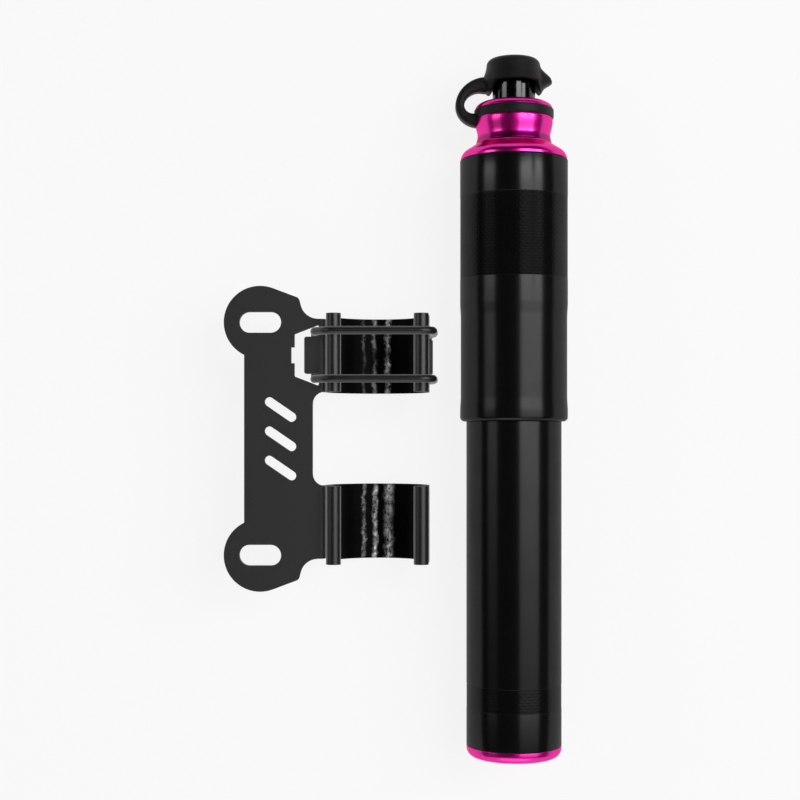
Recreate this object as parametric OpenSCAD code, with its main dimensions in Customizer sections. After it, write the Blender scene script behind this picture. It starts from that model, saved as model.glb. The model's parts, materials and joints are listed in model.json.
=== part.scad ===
// Hand pump for bicycle tyres, with the bracket that holds it on a frame.
//
// Both lie on a bench, as they are packed. +Y runs from the pump's tail to its hose end, +Z is up,
// and the origin is on the bench below the middle of the pair.
// Pieces of the pump are drawn along +Z from the tail, which is at 0, and pump_frame() lays them down.
// The bracket has its own centre midway between its two bolt slots, on the axis of its two clips.

/* [Barrel] */
// Outer diameter of the barrel
barrel_d = 26.5; // [25:0.1:28]
// Wall of the barrel tube
barrel_wall = 1; // [0.8:0.1:1.4]
// Length of the barrel tube
barrel_l = 152.3; // [145:0.1:156]
// Bare tube between the tail cap and the grip band
barrel_band_at = 10.5; // [6:0.1:20]
// Width of the grip band near the tail
barrel_band_w = 6.7; // [3:0.1:12]
// Depth of the grip bands below the tube's surface
band_depth = 0.12; // [0.05:0.01:0.2]

/* [Tail cap] */
// Thickness of the cap that shows behind the barrel
tail_cap_t = 3.2; // [2.7:0.1:5]
// Radius of the cap's rounded edge
tail_round = 2.6; // [1:0.1:2.6]
// Length of the plug inside the barrel
tail_plug_l = 8; // [6:0.1:10]
// Wall of the plug
tail_plug_wall = 3; // [2.4:0.1:4]
// Thickness of the O-ring's cord
tail_seal_d = 1.8; // [1.4:0.1:2]

/* [Sleeve] */
// Wall of the sleeve
sleeve_wall = 1.35; // [1.2:0.05:2]
// Length of the sleeve
sleeve_l = 72.7; // [60:0.1:80]
// Gap all round between the barrel and the sleeve's wall
sleeve_gap = 0.4; // [0.3:0.05:0.5]
// Radius of the rounded lip at the open end
lip_round = 1.2; // [0.4:0.1:1.3]
// How far the waist is drawn in
waist_depth = 0.18; // [0.05:0.01:0.25]
// Distance from the open end to the waist
waist_at = 4.4; // [3:0.1:8]
// Length of the waist
waist_l = 26; // [15:0.1:30]
// Distance from the open end to the grip band
grip_at = 39.2; // [34:0.1:42]
// Width of the grip band
grip_w = 22.8; // [10:0.1:26]
// Wall of the slide bush in the open end
guide_ring_wall = 0.7; // [0.6:0.05:0.8]
// Length of the slide bush
guide_ring_l = 6; // [4:0.1:10]

/* [Head collar] */
// Height of the shoulder above the sleeve
shoulder_h = 4.6; // [4:0.1:7]
// Diameter at the top of the shoulder
shoulder_top_d = 20.7; // [20.4:0.1:22]
// How far the shoulder's foot lies inside the sleeve's edge
shoulder_step = 0.2; // [0.1:0.05:0.4]
// Height at which the shoulder would turn inwards if its edge were sharp
shoulder_edge_h = 1.8; // [1:0.1:2.4]
// Radius of the shoulder's rounded edge
shoulder_round = 3.1; // [1:0.1:3.5]
// Radius of the hollow between the shoulder and the neck
shoulder_hollow = 1.2; // [0.4:0.1:2]
// Diameter of the neck at its waist
neck_d = 20.2; // [19.6:0.1:20.6]
// Diameter of the neck below the strap ring
neck_top_d = 21.6; // [20.9:0.1:21.8]
// Length over which the neck draws in above the shoulder
neck_foot_l = 2; // [1:0.1:3]
// Length over which the neck flares
neck_flare_l = 3.9; // [2:0.1:4.2]
// Height of the straight band between the flare and the strap ring
neck_band_l = 1.1; // [0.5:0.1:2]
// Height of the neck from the shoulder to the strap ring
neck_h = 7.1; // [6:0.1:9]
// Height of the rounded top above the strap ring
crown_h = 2; // [1.5:0.1:3]
// Diameter of the flat top
crown_flat_d = 14.4; // [14:0.1:17]
// Length of the spigot inside the sleeve
spigot_l = 5.3; // [3:0.1:6]
// Depth of the socket that the chuck sits in
socket_depth = 13; // [11:0.1:14]
// Length of the narrow passage that keeps the hose stop in
gland_l = 3; // [2:0.1:5]

/* [Piston rod] */
// Outer diameter of the hollow rod
rod_d = 10; // [9.6:0.1:11]
// Bore of the hollow rod
rod_bore_d = 8; // [7.8:0.1:8.6]
// How deep the rod sits in the piston
rod_in_piston = 7; // [4:0.1:8]

/* [Piston and check valve] */
// Length of the piston
piston_l = 10; // [9:0.1:14]
// Gap between the piston and the tail plug when the pump is shut
piston_gap = 1.5; // [0.5:0.1:4]
// Gap all round between the piston's body and the barrel
piston_clear = 0.4; // [0.3:0.05:0.6]
// Width of the piston's seal
piston_seal_w = 2.6; // [1.5:0.1:3]
// Depth of the seal's groove
piston_seal_depth = 1.8; // [1.2:0.1:2.5]
// Diameter of the check valve's ball
ball_d = 4; // [3:0.1:5]
// Diameter of the air hole under the ball
inlet_d = 2.4; // [1.5:0.1:2.6]
// Mean diameter of the spring's coils
spring_d = 3; // [2.4:0.1:3.6]
// Length of the spring above the ball
spring_l = 6; // [4:0.1:9]
// Thickness of the spring's wire
spring_wire_d = 0.5; // [0.4:0.05:0.7]
// Turns of the spring
spring_turns = 5; // [3:1:7]
// Thickness of the washer that holds the spring
retainer_t = 1.5; // [1:0.1:2.5]
// Hole through that washer
retainer_hole_d = 3; // [2:0.1:4]

/* [Rod guide and bumpers] */
// Thickness of the guide's flange on the barrel's mouth
guide_flange_t = 1.5; // [1:0.1:2.5]
// Length of the guide inside the barrel
guide_l = 12; // [8:0.1:14]
// Thickness of the guide's web around the rod
guide_web_t = 4; // [3:0.1:6]
// Wall of the guide's skirt
guide_skirt_wall = 1.8; // [1.2:0.1:2.5]
// Vent holes through the guide's web
vent_count = 4; // [3:1:6]
// Diameter of a vent hole
vent_d = 2; // [1:0.1:2.6]
// Thickness of the rubber ring between barrel mouth and collar
bumper_t = 3.4; // [2:0.1:4]
// Outer diameter of that ring
bumper_d = 19; // [16:0.1:22]
// Thickness of the rubber ring behind the piston
stroke_bumper_t = 4; // [2:0.1:6]
// Outer diameter of the ring behind the piston
stroke_bumper_d = 16; // [14:0.1:19]

/* [Hose] */
// Outer diameter of the hose
hose_d = 7; // [6.6:0.1:7.2]
// Bore of the hose
hose_bore_d = 3.5; // [3:0.1:4]
// How far the hose pulls out
hose_travel = 50; // [40:0.5:50]
// Length of the slider at the hose's inner end
hose_stop_l = 8; // [6:0.1:10]
// Thickness of its O-ring's cord
hose_seal_d = 1.2; // [1:0.1:1.4]
// Length of a barb inside the hose
barb_l = 5; // [3:0.1:7]
// Wall of the crimped shell over the hose
crimp_wall = 0.9; // [0.6:0.1:1.2]
// Length of the crimped shell
crimp_l = 3.2; // [2.5:0.1:4]
// Diameter of the nipple that the chuck turns on
nipple_d = 5; // [4.6:0.1:5.6]
// Bore through the nipple, the barbs and the slider
air_bore_d = 1.8; // [1.2:0.1:2.2]

/* [Chuck] */
// Outer diameter of the chuck
chuck_d = 11.9; // [11.4:0.1:12.2]
// Length of the chuck
chuck_l = 15.8; // [14:0.1:16]
// Gap between the ferrule's shell and the chuck
chuck_foot_gap = 0.4; // [0.3:0.1:0.6]
// Number of grip flutes
flute_count = 10; // [8:1:12]
// Diameter of the round flute cut
flute_d = 3; // [2:0.1:3.4]
// Depth of a flute
flute_depth = 0.6; // [0.2:0.05:0.7]
// Length of the fluted part
flute_l = 11; // [6:0.1:12]
// Depth of the tyre valve's socket
valve_socket_l = 10; // [8:0.1:11]
// Bore for the tyre valve
valve_d = 7.7; // [7.5:0.05:7.9]
// Wall of the threaded insert
insert_wall = 0.6; // [0.4:0.05:0.7]
// Thickness of the gasket at the mouth
gasket_t = 2; // [1.5:0.1:3]
// Hole through the gasket
gasket_hole_d = 5.6; // [5:0.1:6.4]

/* [Dust cap] */
// Outer diameter of the cap's rim
cap_d = 17.2; // [16.8:0.1:17.6]
// Diameter of the cap just below its rounded top
cap_top_d = 15.2; // [14.8:0.1:15.8]
// Radius of the cap's rounded top edge
cap_round = 1.9; // [1:0.1:2.6]
// Wall of the cap's rim
cap_wall = 1.35; // [1.2:0.05:1.5]
// Height of the cap above its rim
cap_h = 6.7; // [6.2:0.1:7.5]
// Thickness of the cap's top
cap_top_t = 1.3; // [1.1:0.1:1.6]
// How far the cap covers the chuck
cap_cover = 1.3; // [0.5:0.1:1.6]
// How far the pull tab stands out from the rim
tab_reach = 2.1; // [1.8:0.1:3]
// Height of the tab's root above the rim
tab_h = 3.2; // [2.5:0.1:4]
// How far the tab's inner edge hangs below the rim
tab_low = 3; // [2:0.1:3.2]
// Thickness of the strap at its bend
strap_t = 2.6; // [2:0.1:3]
// Width of the strap, the tab and the lugs
strap_w = 5; // [4:0.1:7]
// Distance from the cap's axis to the middle of the strap's bend
strap_reach = 15.3; // [15:0.1:17]
// Height of the strap ring
ring_h = 2.6; // [2:0.1:3.2]
// Depth of the ring's groove in the neck
ring_depth = 0.9; // [0.5:0.1:1.2]
// Thickness of the ring, from its groove outwards
ring_wall = 1.2; // [1:0.1:1.6]

/* [Bracket] */
// Distance between the two bolt slots, as between the bosses on a frame
slot_pitch = 64; // [60:0.5:72]
// Length of a bolt slot, end to end
slot_l = 11.5; // [8:0.1:13]
// Width of a bolt slot
slot_w = 5.75; // [5.2:0.05:6.2]
// Radius of the ear around a bolt slot
ear_r = 10; // [8.5:0.1:11]
// Distance from the clips' axis to the bolt slots
slot_offset = 32.2; // [30:0.1:36]
// Thickness of the plate
plate_t = 2; // [1.6:0.1:2.6]
// Distance from the bolt slots to the plate's straight edge
plate_edge = 4.4; // [3:0.1:6]
// Wall of the clips
clip_wall = 1.2; // [1:0.05:1.5]
// Length of one clip
clip_l = 21.4; // [18:0.1:23]
// Gap between the two clips
clip_gap = 25.9; // [24:0.1:30]
// Width of the clips' mouth
mouth_w = 19.9; // [18:0.1:21]
// Diameter of the rounded bead on each lip
bead_d = 4.1; // [3:0.1:4.4]
// Gap between a bead and the barrel that the clip holds
bead_clear = 0.15; // [0.1:0.05:0.4]
// Thickness of the web that joins the plate to the clips
web_t = 1.6; // [1.2:0.1:2.2]
// Radius of the fold between plate and web
fold_r = 1.3; // [0.5:0.1:1.5]
// Width of a slanted slot
slant_w = 2.6; // [1.5:0.1:3.5]
// Length of a slanted slot between the centres of its ends
slant_l = 7.4; // [4:0.1:9]
// Distance from one slanted slot to the next
slant_pitch = 8.05; // [6:0.05:9]
// Width of the tongue that the band hooks behind
tongue_w = 10.2; // [8:0.1:11]
// Length of the tongue
tongue_l = 4; // [3:0.1:4.5]
// Length of the window beside the tongue, from the web to its far edge
window_l = 6.7; // [5.5:0.1:8]
// How much narrower the window is at its far edge, on each side
window_taper = 2.6; // [0:0.1:4]
// Width of the pocket in the window's far edge
pocket_w = 4.4; // [2:0.1:6]
// Depth of that pocket
pocket_l = 0.9; // [0.5:0.1:1.5]
// Radius of the corners between plate and clips
notch_r = 3.3; // [1:0.1:5]
// Distance from the clips' axis to the plate's edge between the clips
notch_x = 17.8; // [16.5:0.1:20]
// Distance from the clips' axis to the outer shoulders
shoulder_x = 21.6; // [20:0.1:24]
// How far an outer shoulder lies beyond the bolt slot's middle
shoulder_out = 6.7; // [4:0.1:9]
// Length of the arm's straight end beside the web
arm_w = 4.6; // [3:0.1:6]
// How far the web stops short of the clips' outer ends
arm_short = 1.4; // [0:0.1:3]
// Height of the plate's outer face above the clips' axis
plate_h = 8; // [7:0.1:9.5]
// Distance from the bolt slots to the slanted slots
slant_shift = 5.55; // [4:0.05:7]
// Angle of the slanted slots
slant_angle = 34.5; // [20:0.5:50]
// How far the tongue sits below the middle of the upper clip
tongue_shift = 0.7; // [0:0.1:2]
// How far the ledge for the band's end stands out from the clip
ledge_out = 1; // [0.6:0.1:1.4]
// Thickness of that ledge
ledge_t = 1.4; // [1:0.1:2]
// Depth of the ledge's lower face below the clips' axis
ledge_low = 4; // [3:0.1:5]

/* [Retaining band] */
// Thickness of the rubber band
band_d = 2.2; // [1.6:0.1:2.4]

/* [Layout] */
// Distance from the pump's axis to the clips' axis
pair_gap = 38; // [36:0.5:60]
// How far the bracket lies towards the tail from the pump's middle
bracket_shift = 8.7; // [0:0.1:20]

/* [Hidden] */
run = 0.05;              // radial clearance of every running fit
free = 0.3;              // gap between pieces that pass each other freely
eps = 0.01;              // overshoot of a cut past a face
$fn = 72;

// Pump, radii
barrel_r = barrel_d / 2;
bore_r = barrel_r - barrel_wall;
sleeve_in = barrel_r + sleeve_gap;
sleeve_r = sleeve_in + sleeve_wall;
rod_r = rod_d / 2;
hose_r = hose_d / 2;
chuck_r = chuck_d / 2;
cap_r = cap_d / 2;
neck_r = neck_d / 2;
ring_in = neck_top_d / 2 - ring_depth;
ring_r = ring_in + ring_wall;
plug_r = bore_r;
piston_r = bore_r - piston_clear;

// Pump, places along the axis from the tail
barrel_z = tail_cap_t;
mouth_z = barrel_z + barrel_l;
flange_z = mouth_z + guide_flange_t;
piston_z = tail_cap_t + tail_plug_l + piston_gap;
piston_top = piston_z + piston_l;
rod_z = piston_top - rod_in_piston;
collar_z = flange_z + free + bumper_t;
sleeve_top = collar_z + spigot_l;
sleeve_z = sleeve_top - sleeve_l;
shoulder_top = sleeve_top + shoulder_h;
ring_z = shoulder_top + neck_h;
crown_z = ring_z + ring_h;
collar_top = crown_z + crown_h;
socket_z = collar_top - socket_depth;
gland_z = socket_z - gland_l;
crimp_z = socket_z + free;
chuck_z = crimp_z + crimp_l + chuck_foot_gap;
chuck_top = chuck_z + chuck_l;
rim_z = chuck_top - cap_cover;
pump_l = rim_z + cap_h;
hose_z = gland_z - hose_travel - free;
hose_top = crimp_z + crimp_l - 1;

// Bracket
clip_r = barrel_r;
clip_out = clip_r + clip_wall;
bead_r = bead_d / 2;
bead_x = (mouth_w + bead_d) / 2;
bead_z = sqrt(pow(clip_r + bead_clear + bead_r, 2) - pow(bead_x, 2));
plate_top = plate_h;
web_x = -clip_out + 0.15;
fold_x = web_x - fold_r;
plate_left = -slot_offset - plate_edge;
clip_mid = (clip_gap + clip_l) / 2;
arm_y = clip_gap / 2 + clip_l - arm_short;
tongue_y = clip_mid - tongue_shift;
strand_y = tongue_w / 2 + band_d / 2 + 0.35;
window_right = web_x - web_t - 0.2;
window_left = window_right - window_l;
window_w = 2 * (strand_y + band_d / 2 + 0.75);

// Layout: the pair's footprint is centred on the origin, and both rest on the bench
pair_w = slot_offset + ear_r + pair_gap + sleeve_r;
clip_x = -pair_w / 2 + slot_offset + ear_r;
pump_x = clip_x + pair_gap;
pump_z = sleeve_r;

// ---- helpers ----

// Points of an arc about c, from angle a to angle b, in n steps.
function arc(c, r, a, b, n = 8) = [for (i = [0 : n]) c + r * [cos(a + (b - a) * i / n), sin(a + (b - a) * i / n)]];

// One corner p of an outline, rounded with radius r between its neighbours.
function round_corner(before, p, after, r, n) =
  let (
    u = (before - p) / norm(before - p),
    v = (after - p) / norm(after - p),
    half = acos(max(-1, min(1, u * v))) / 2,
    back = r / tan(half),
    middle = (u + v) / norm(u + v),
    centre = p + middle * r / sin(half),
    from = p + u * back - centre,
    a = atan2(from[1], from[0]),
    to = p + v * back - centre,
    turn = atan2(from[0] * to[1] - from[1] * to[0], from * to)
  )
  [for (i = [0 : n]) centre + r * [cos(a + turn * i / n), sin(a + turn * i / n)]];

// The largest radius up to r whose arc takes no more than its share of each side of the corner p.
function fitting(before, p, after, r, share_before, share_after) =
  let (half = acos(max(-1, min(1, (before - p) * (after - p) / norm(before - p) / norm(after - p)))) / 2)
  min(r, share_before * norm(before - p) * tan(half), share_after * norm(after - p) * tan(half));

// A smooth step from 0 to 1 as t goes from 0 to 1.
function ease(t) = let (k = max(0, min(1, t))) k * k * (3 - 2 * k);

// An outline of corners [x, y, radius] with every corner rounded.
function rounded(corners, n = 6) = [
  for (i = [0 : len(corners) - 1])
    let (
      count = len(corners),
      c = corners[i],
      p = [c[0], c[1]],
      b = corners[(i + count - 1) % count],
      a = corners[(i + 1) % count]
    )
    each c[2] > 0 ? round_corner([b[0], b[1]], p, [a[0], a[1]], c[2], n) : [p]
];

// Where a line from point p touches a circle, on the side given by side = 1 or -1.
function touch(c, r, p, side) =
  let (d = p - c, a = atan2(d[1], d[0]) + side * acos(r / norm(d)))
  c + r * [cos(a), sin(a)];

// A stadium: a slot of end radius r with its end centres l apart along X.
module slot(l, r) {
  square([l, 2 * r], center = true);
  for (side = [-1, 1]) translate([side * l / 2, 0]) circle(r);
}

// A tube along +Z.
module tube(z, l, r_out, r_in) {
  translate([0, 0, z]) difference() {
    cylinder(r = r_out, h = l);
    translate([0, 0, -eps]) cylinder(r = r_in, h = l + 2 * eps);
  }
}

// A ring of round cord that fills a groove: r_out is its outer radius, d its thickness.
module o_ring(z, r_out, d) {
  translate([0, 0, z]) rotate_extrude() translate([r_out - d / 2, 0]) circle(d = d, $fn = 32);
}

// Lays a piece that is drawn along +Z from the pump's tail down on the bench, along +Y.
module pump_frame() {
  translate([pump_x, -pump_l / 2, pump_z]) rotate([-90, 0, 0]) children();
}

// Puts a piece of the bracket, drawn about the clips' axis, on the bench.
module bracket_frame() {
  translate([clip_x, -bracket_shift, clip_out]) children();
}

// Rounds of a band of parallel rings: a closed tube of n sides carried along a loop of points.
module loop_tube(points, r, sides) {
  count = len(points);
  middle = [for (k = [0 : 2]) (min([for (p = points) p[k]]) + max([for (p = points) p[k]])) / 2];
  rings = [
    for (i = [0 : count - 1])
      let (
        ahead = points[(i + 1) % count] - points[(i + count - 1) % count],
        t = ahead / norm(ahead),
        out = cross(t, points[i] - middle),
        u = out / norm(out),
        v = cross(t, u)
      )
      for (k = [0 : sides - 1]) points[i] + r * (cos(360 * k / sides) * u + sin(360 * k / sides) * v)
  ];
  faces = [
    for (i = [0 : count - 1], k = [0 : sides - 1])
      let (a = i * sides, b = ((i + 1) % count) * sides, m = (k + 1) % sides)
      [a + k, b + k, b + m, a + m]
  ];
  polyhedron(rings, faces, convexity = 8);
}

// ---- pump: sleeve and collar ----

module sleeve() {
  color([0.05, 0.05, 0.055]) pump_frame() difference() {
    rotate_extrude() polygon(concat(
      [[sleeve_in, sleeve_z], [sleeve_r - lip_round, sleeve_z]],
      arc([sleeve_r - lip_round, sleeve_z + lip_round], lip_round, -90, 0, 6),
      [
        [sleeve_r, sleeve_z + waist_at],
        [sleeve_r - waist_depth, sleeve_z + waist_at + 1],
        [sleeve_r - waist_depth, sleeve_z + waist_at + waist_l],
        [sleeve_r, sleeve_z + waist_at + waist_l + 1],
        [sleeve_r, sleeve_z + grip_at],
        [sleeve_r - band_depth, sleeve_z + grip_at + band_depth],
        [sleeve_r - band_depth, sleeve_z + grip_at + grip_w - band_depth],
        [sleeve_r, sleeve_z + grip_at + grip_w],
        [sleeve_r, sleeve_top],
        [sleeve_in, sleeve_top]
      ]
    ));
    // seat of the slide bush
    translate([0, 0, sleeve_z - eps]) cylinder(r = barrel_r + run + guide_ring_wall, h = guide_ring_l + eps);
  }
}

module guide_ring() {
  color([0.2, 0.2, 0.2]) pump_frame()
    tube(sleeve_z, guide_ring_l, barrel_r + run + guide_ring_wall, barrel_r + run);
}

module head_collar() {
  start = [sleeve_r - shoulder_step, sleeve_top];
  edge = start + [0, shoulder_edge_h];
  foot = [shoulder_top_d / 2, shoulder_top];
  waist = foot + [0, neck_h];
  color([0.85, 0.08, 0.6]) pump_frame() difference() {
    rotate_extrude() polygon(concat(
      [[0, collar_z], [sleeve_in, collar_z], [sleeve_in, sleeve_top], start],
      // shoulder: a rounded edge, a flank and a hollow
      round_corner(start, edge, foot, fitting(start, edge, foot, shoulder_round, 0.95, 0.6), 8),
      round_corner(edge, foot, waist, fitting(edge, foot, waist, shoulder_hollow, 0.35, 0.15), 4),
      // neck that draws in and flares up to the strap ring
      [for (i = [3 : 16]) let (h = neck_h * i / 16) [
        neck_r + (foot[0] - neck_r) * (1 - ease(h / neck_foot_l))
        + (neck_top_d / 2 - neck_r) * ease(1 - (neck_h - neck_band_l - h) / neck_flare_l),
        shoulder_top + h
      ]],
      // groove of the strap ring
      [[ring_in, ring_z], [ring_in, crown_z]],
      // rounded crown
      [for (a = [0 : 15 : 90]) [
        crown_flat_d / 2 + (neck_top_d / 2 - crown_flat_d / 2) * cos(a),
        crown_z + crown_h * sin(a)
      ]],
      [[0, collar_top]]
    ));
    // seat of the rod, the hose's gland and the chuck's socket
    translate([0, 0, collar_z - eps]) cylinder(r = rod_r, h = gland_z - collar_z + eps);
    translate([0, 0, gland_z - eps]) cylinder(r = hose_r + run, h = gland_l + 2 * eps);
    translate([0, 0, socket_z]) cylinder(r = chuck_r + free, h = socket_depth + eps);
  }
}

// ---- pump: dust cap on its strap ----

lug_z = ring_z - 2.1;            // underside of the ring's lug, which hangs below the ring
lug_h = 3.9;
root_z = rim_z - 2.5;            // underside of the cap's lug
root_h = 3.8;
lug_x = -(ring_r + 0.4);
root_x = -(cap_r + 1);

module cap_ring() {
  color([0.1, 0.1, 0.1]) pump_frame() {
    tube(ring_z, ring_h, ring_r, ring_in);
    // lug that the strap starts from
    difference() {
      translate([lug_x, -strap_w / 2, lug_z]) cube([-lug_x, strap_w, lug_h]);
      translate([0, 0, lug_z - eps]) cylinder(r = ring_r - 0.2, h = lug_h + 2 * eps);
    }
  }
}

// The strap bends out and back like a letter C, between the ring's lug and the cap's lug.
module cap_strap() {
  low = [lug_x - free, lug_z + lug_h / 2];
  high = [root_x, root_z + root_h / 2];
  rise = high[1] - low[1];
  reach = strap_reach + (low[0] + high[0]) / 2;
  // middle line: half an ellipse about the two ends, leaning with them
  line = [for (i = [0 : 16]) let (a = -90 + 180 * i / 16) [
    low[0] + (high[0] - low[0]) * (1 + sin(a)) / 2 - reach * cos(a),
    low[1] + rise * (1 + sin(a)) / 2
  ]];
  count = len(line);
  side = [for (i = [0 : count - 1])
    let (
      d = i == 0 || i == count - 1 ? [-1 + 2 * (i > 0 ? 1 : 0), 0] : line[i + 1] - line[i - 1],
      t = d / norm(d)
    )
    [-t[1], t[0]]
  ];
  half = [for (i = [0 : count - 1]) (strap_t + (i < 8 ? lug_h - strap_t : root_h - strap_t)
    * pow(abs(i - 8) / 8, 2)) / 2];
  outline = concat(
    [for (i = [0 : count - 1]) line[i] + side[i] * half[i]],
    [for (i = [count - 1 : -1 : 0]) line[i] - side[i] * half[i]]
  );
  color([0.08, 0.08, 0.08]) pump_frame() rotate([90, 0, 0]) translate([0, 0, -strap_w / 2])
    linear_extrude(strap_w) polygon(outline);
}

module dust_cap() {
  inner = cap_r - cap_wall;
  cap_top_r = cap_top_d / 2;
  top = rim_z + cap_h;
  color([0.08, 0.08, 0.08]) pump_frame() difference() {
    union() {
      rotate_extrude() polygon(concat(
        [[0, rim_z], [cap_r, rim_z]],
        [for (i = [1 : 4]) let (k = i / 4) [
          cap_top_r + (cap_r - cap_top_r) * pow(1 - k, 0.9), rim_z + (cap_h - cap_round) * k
        ]],
        arc([cap_top_r - cap_round, top - cap_round], cap_round, 8, 90, 8),
        [[0, top]]
      ));
      // pull tab on one side, and the strap's lug on the other
      rotate([90, 0, 0]) translate([0, 0, -strap_w / 2]) linear_extrude(strap_w) {
        polygon(rounded([
          [0, rim_z + tab_h, 0], [cap_r - 0.7, rim_z + tab_h, 0],
          [cap_r + tab_reach * 0.5, rim_z + tab_h * 0.55, 0.8],
          [cap_r + tab_reach, rim_z - 0.1, 0.6], [cap_r + tab_reach * 0.25, rim_z - tab_low * 0.45, 0.5],
          [inner + 0.6, rim_z - tab_low, 0.2], [inner + 0.1, rim_z - tab_low, 0.1], [0, rim_z, 0]
        ], 3));
        polygon([
          [0, root_z], [root_x, root_z],
          [root_x, root_z + root_h], [0, root_z + root_h]
        ]);
      }
    }
    // hollow over the chuck's end
    translate([0, 0, root_z - 1]) cylinder(r = inner, h = top - cap_top_t - 1.6 - root_z + 1);
    translate([0, 0, top - cap_top_t - 1.6 - eps])
      cylinder(r1 = inner, r2 = inner - 1.6, h = 1.6 + eps);
  }
}

// ---- pump: chuck and hose ----

module chuck_body() {
  mouth = valve_d / 2 + insert_wall;
  color([0.12, 0.12, 0.13]) pump_frame() difference() {
    union() {
      translate([0, 0, chuck_z]) cylinder(r = chuck_r, h = chuck_l - 0.4);
      translate([0, 0, chuck_top - 0.4]) cylinder(r1 = chuck_r, r2 = chuck_r - 0.4, h = 0.4);
    }
    for (i = [0 : flute_count - 1]) rotate([0, 0, 360 * i / flute_count])
      translate([chuck_r + flute_d / 2 - flute_depth, 0, chuck_top - flute_l])
        cylinder(d = flute_d, h = flute_l + eps, $fn = 24);
    translate([0, 0, chuck_top - valve_socket_l]) cylinder(r = mouth, h = valve_socket_l + eps);
    translate([0, 0, chuck_z - eps]) cylinder(r = nipple_d / 2 + run, h = chuck_l);
  }
}

module chuck_insert() {
  color([0.75, 0.62, 0.35]) pump_frame()
    tube(chuck_top - valve_socket_l, valve_socket_l - gasket_t, valve_d / 2 + insert_wall, valve_d / 2);
}

module chuck_gasket() {
  color([0.15, 0.15, 0.15]) pump_frame()
    tube(chuck_top - gasket_t, gasket_t, valve_d / 2 + insert_wall, gasket_hole_d / 2);
}

module hose_ferrule() {
  color([0.75, 0.75, 0.77]) pump_frame() {
    difference() {
      union() {
        // crimped shell, nipple with its retaining head, and barb inside the hose
        translate([0, 0, crimp_z]) cylinder(r = hose_r + crimp_wall, h = crimp_l);
        translate([0, 0, crimp_z]) cylinder(r = nipple_d / 2, h = chuck_top - valve_socket_l - crimp_z);
        translate([0, 0, chuck_top - valve_socket_l + run]) cylinder(r = nipple_d / 2 + 0.7, h = 0.8);
        translate([0, 0, chuck_top - valve_socket_l - 0.5]) cylinder(r = nipple_d / 2, h = 1);
      }
      translate([0, 0, crimp_z - eps]) cylinder(r = hose_r, h = hose_top - crimp_z + eps);
      translate([0, 0, crimp_z - eps]) cylinder(d = air_bore_d, h = chuck_l + crimp_l);
    }
    tube(hose_top - barb_l, barb_l, hose_bore_d / 2, air_bore_d / 2);
  }
}

module hose() {
  color([0.1, 0.1, 0.1]) pump_frame() tube(hose_z, hose_top - hose_z, hose_r, hose_bore_d / 2);
}

module hose_stop() {
  slider_r = rod_bore_d / 2 - run;
  z = hose_z - hose_stop_l;
  color([0.75, 0.75, 0.77]) pump_frame() difference() {
    union() {
      translate([0, 0, z]) cylinder(r = slider_r, h = hose_stop_l);
      translate([0, 0, hose_z - eps]) cylinder(r = hose_bore_d / 2, h = barb_l + eps);
    }
    tube(z + hose_stop_l / 2 - hose_seal_d / 2, hose_seal_d, slider_r + 1, slider_r - hose_seal_d + run);
    translate([0, 0, z - eps]) cylinder(d = air_bore_d, h = hose_stop_l + barb_l + 2 * eps);
  }
}

module hose_seal() {
  color([0.1, 0.1, 0.1]) pump_frame()
    o_ring(hose_z - hose_stop_l / 2, rod_bore_d / 2 - run / 2, hose_seal_d - run / 2);
}

// ---- pump: rod, piston and check valve ----

module piston_rod() {
  color([0.75, 0.75, 0.78]) pump_frame() tube(rod_z, gland_z - rod_z, rod_r, rod_bore_d / 2);
}

// The ball rests on a conical seat, so its centre follows from the cone's slope.
seat_h = 1.2;
seat_top_d = ball_d + 1;
seat_slope = (seat_top_d - inlet_d) / 2 / seat_h;
seat_z = rod_z - seat_top_d / 2 / seat_slope + ball_d / 2 / sin(atan(seat_slope)) + 0.02;

module piston() {
  groove_z = piston_z + (piston_l - piston_seal_w) / 2;
  color([0.85, 0.85, 0.82]) pump_frame() difference() {
    translate([0, 0, piston_z]) cylinder(r = piston_r, h = piston_l);
    tube(groove_z, piston_seal_w, piston_r + 1, piston_r - piston_seal_depth);
    translate([0, 0, rod_z]) cylinder(r = rod_r, h = rod_in_piston + eps);
    translate([0, 0, piston_z - eps]) cylinder(d = inlet_d, h = piston_l);
    // conical seat of the ball
    translate([0, 0, rod_z - seat_h]) cylinder(d1 = inlet_d, d2 = seat_top_d, h = seat_h);
    translate([0, 0, rod_z - eps]) cylinder(d = seat_top_d, h = 2 * eps);
  }
}

module piston_seal() {
  groove_z = piston_z + (piston_l - piston_seal_w) / 2;
  color([0.1, 0.1, 0.1]) pump_frame() rotate_extrude() polygon([
    [piston_r - piston_seal_depth, groove_z], [bore_r - run - 0.3, groove_z],
    [bore_r - run, groove_z + 0.6], [bore_r - run, groove_z + 1.1],
    [piston_r - 0.2, groove_z + piston_seal_w], [piston_r - piston_seal_depth, groove_z + piston_seal_w]
  ]);
}

module valve_ball() {
  color([0.85, 0.85, 0.87]) pump_frame() translate([0, 0, seat_z]) sphere(d = ball_d, $fn = 48);
}

// The first coil lies on the ball's shoulder.
spring_z = seat_z + sqrt(pow((ball_d + spring_wire_d) / 2 + 0.02, 2) - pow(spring_d / 2, 2)) - spring_wire_d / 2;

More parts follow.
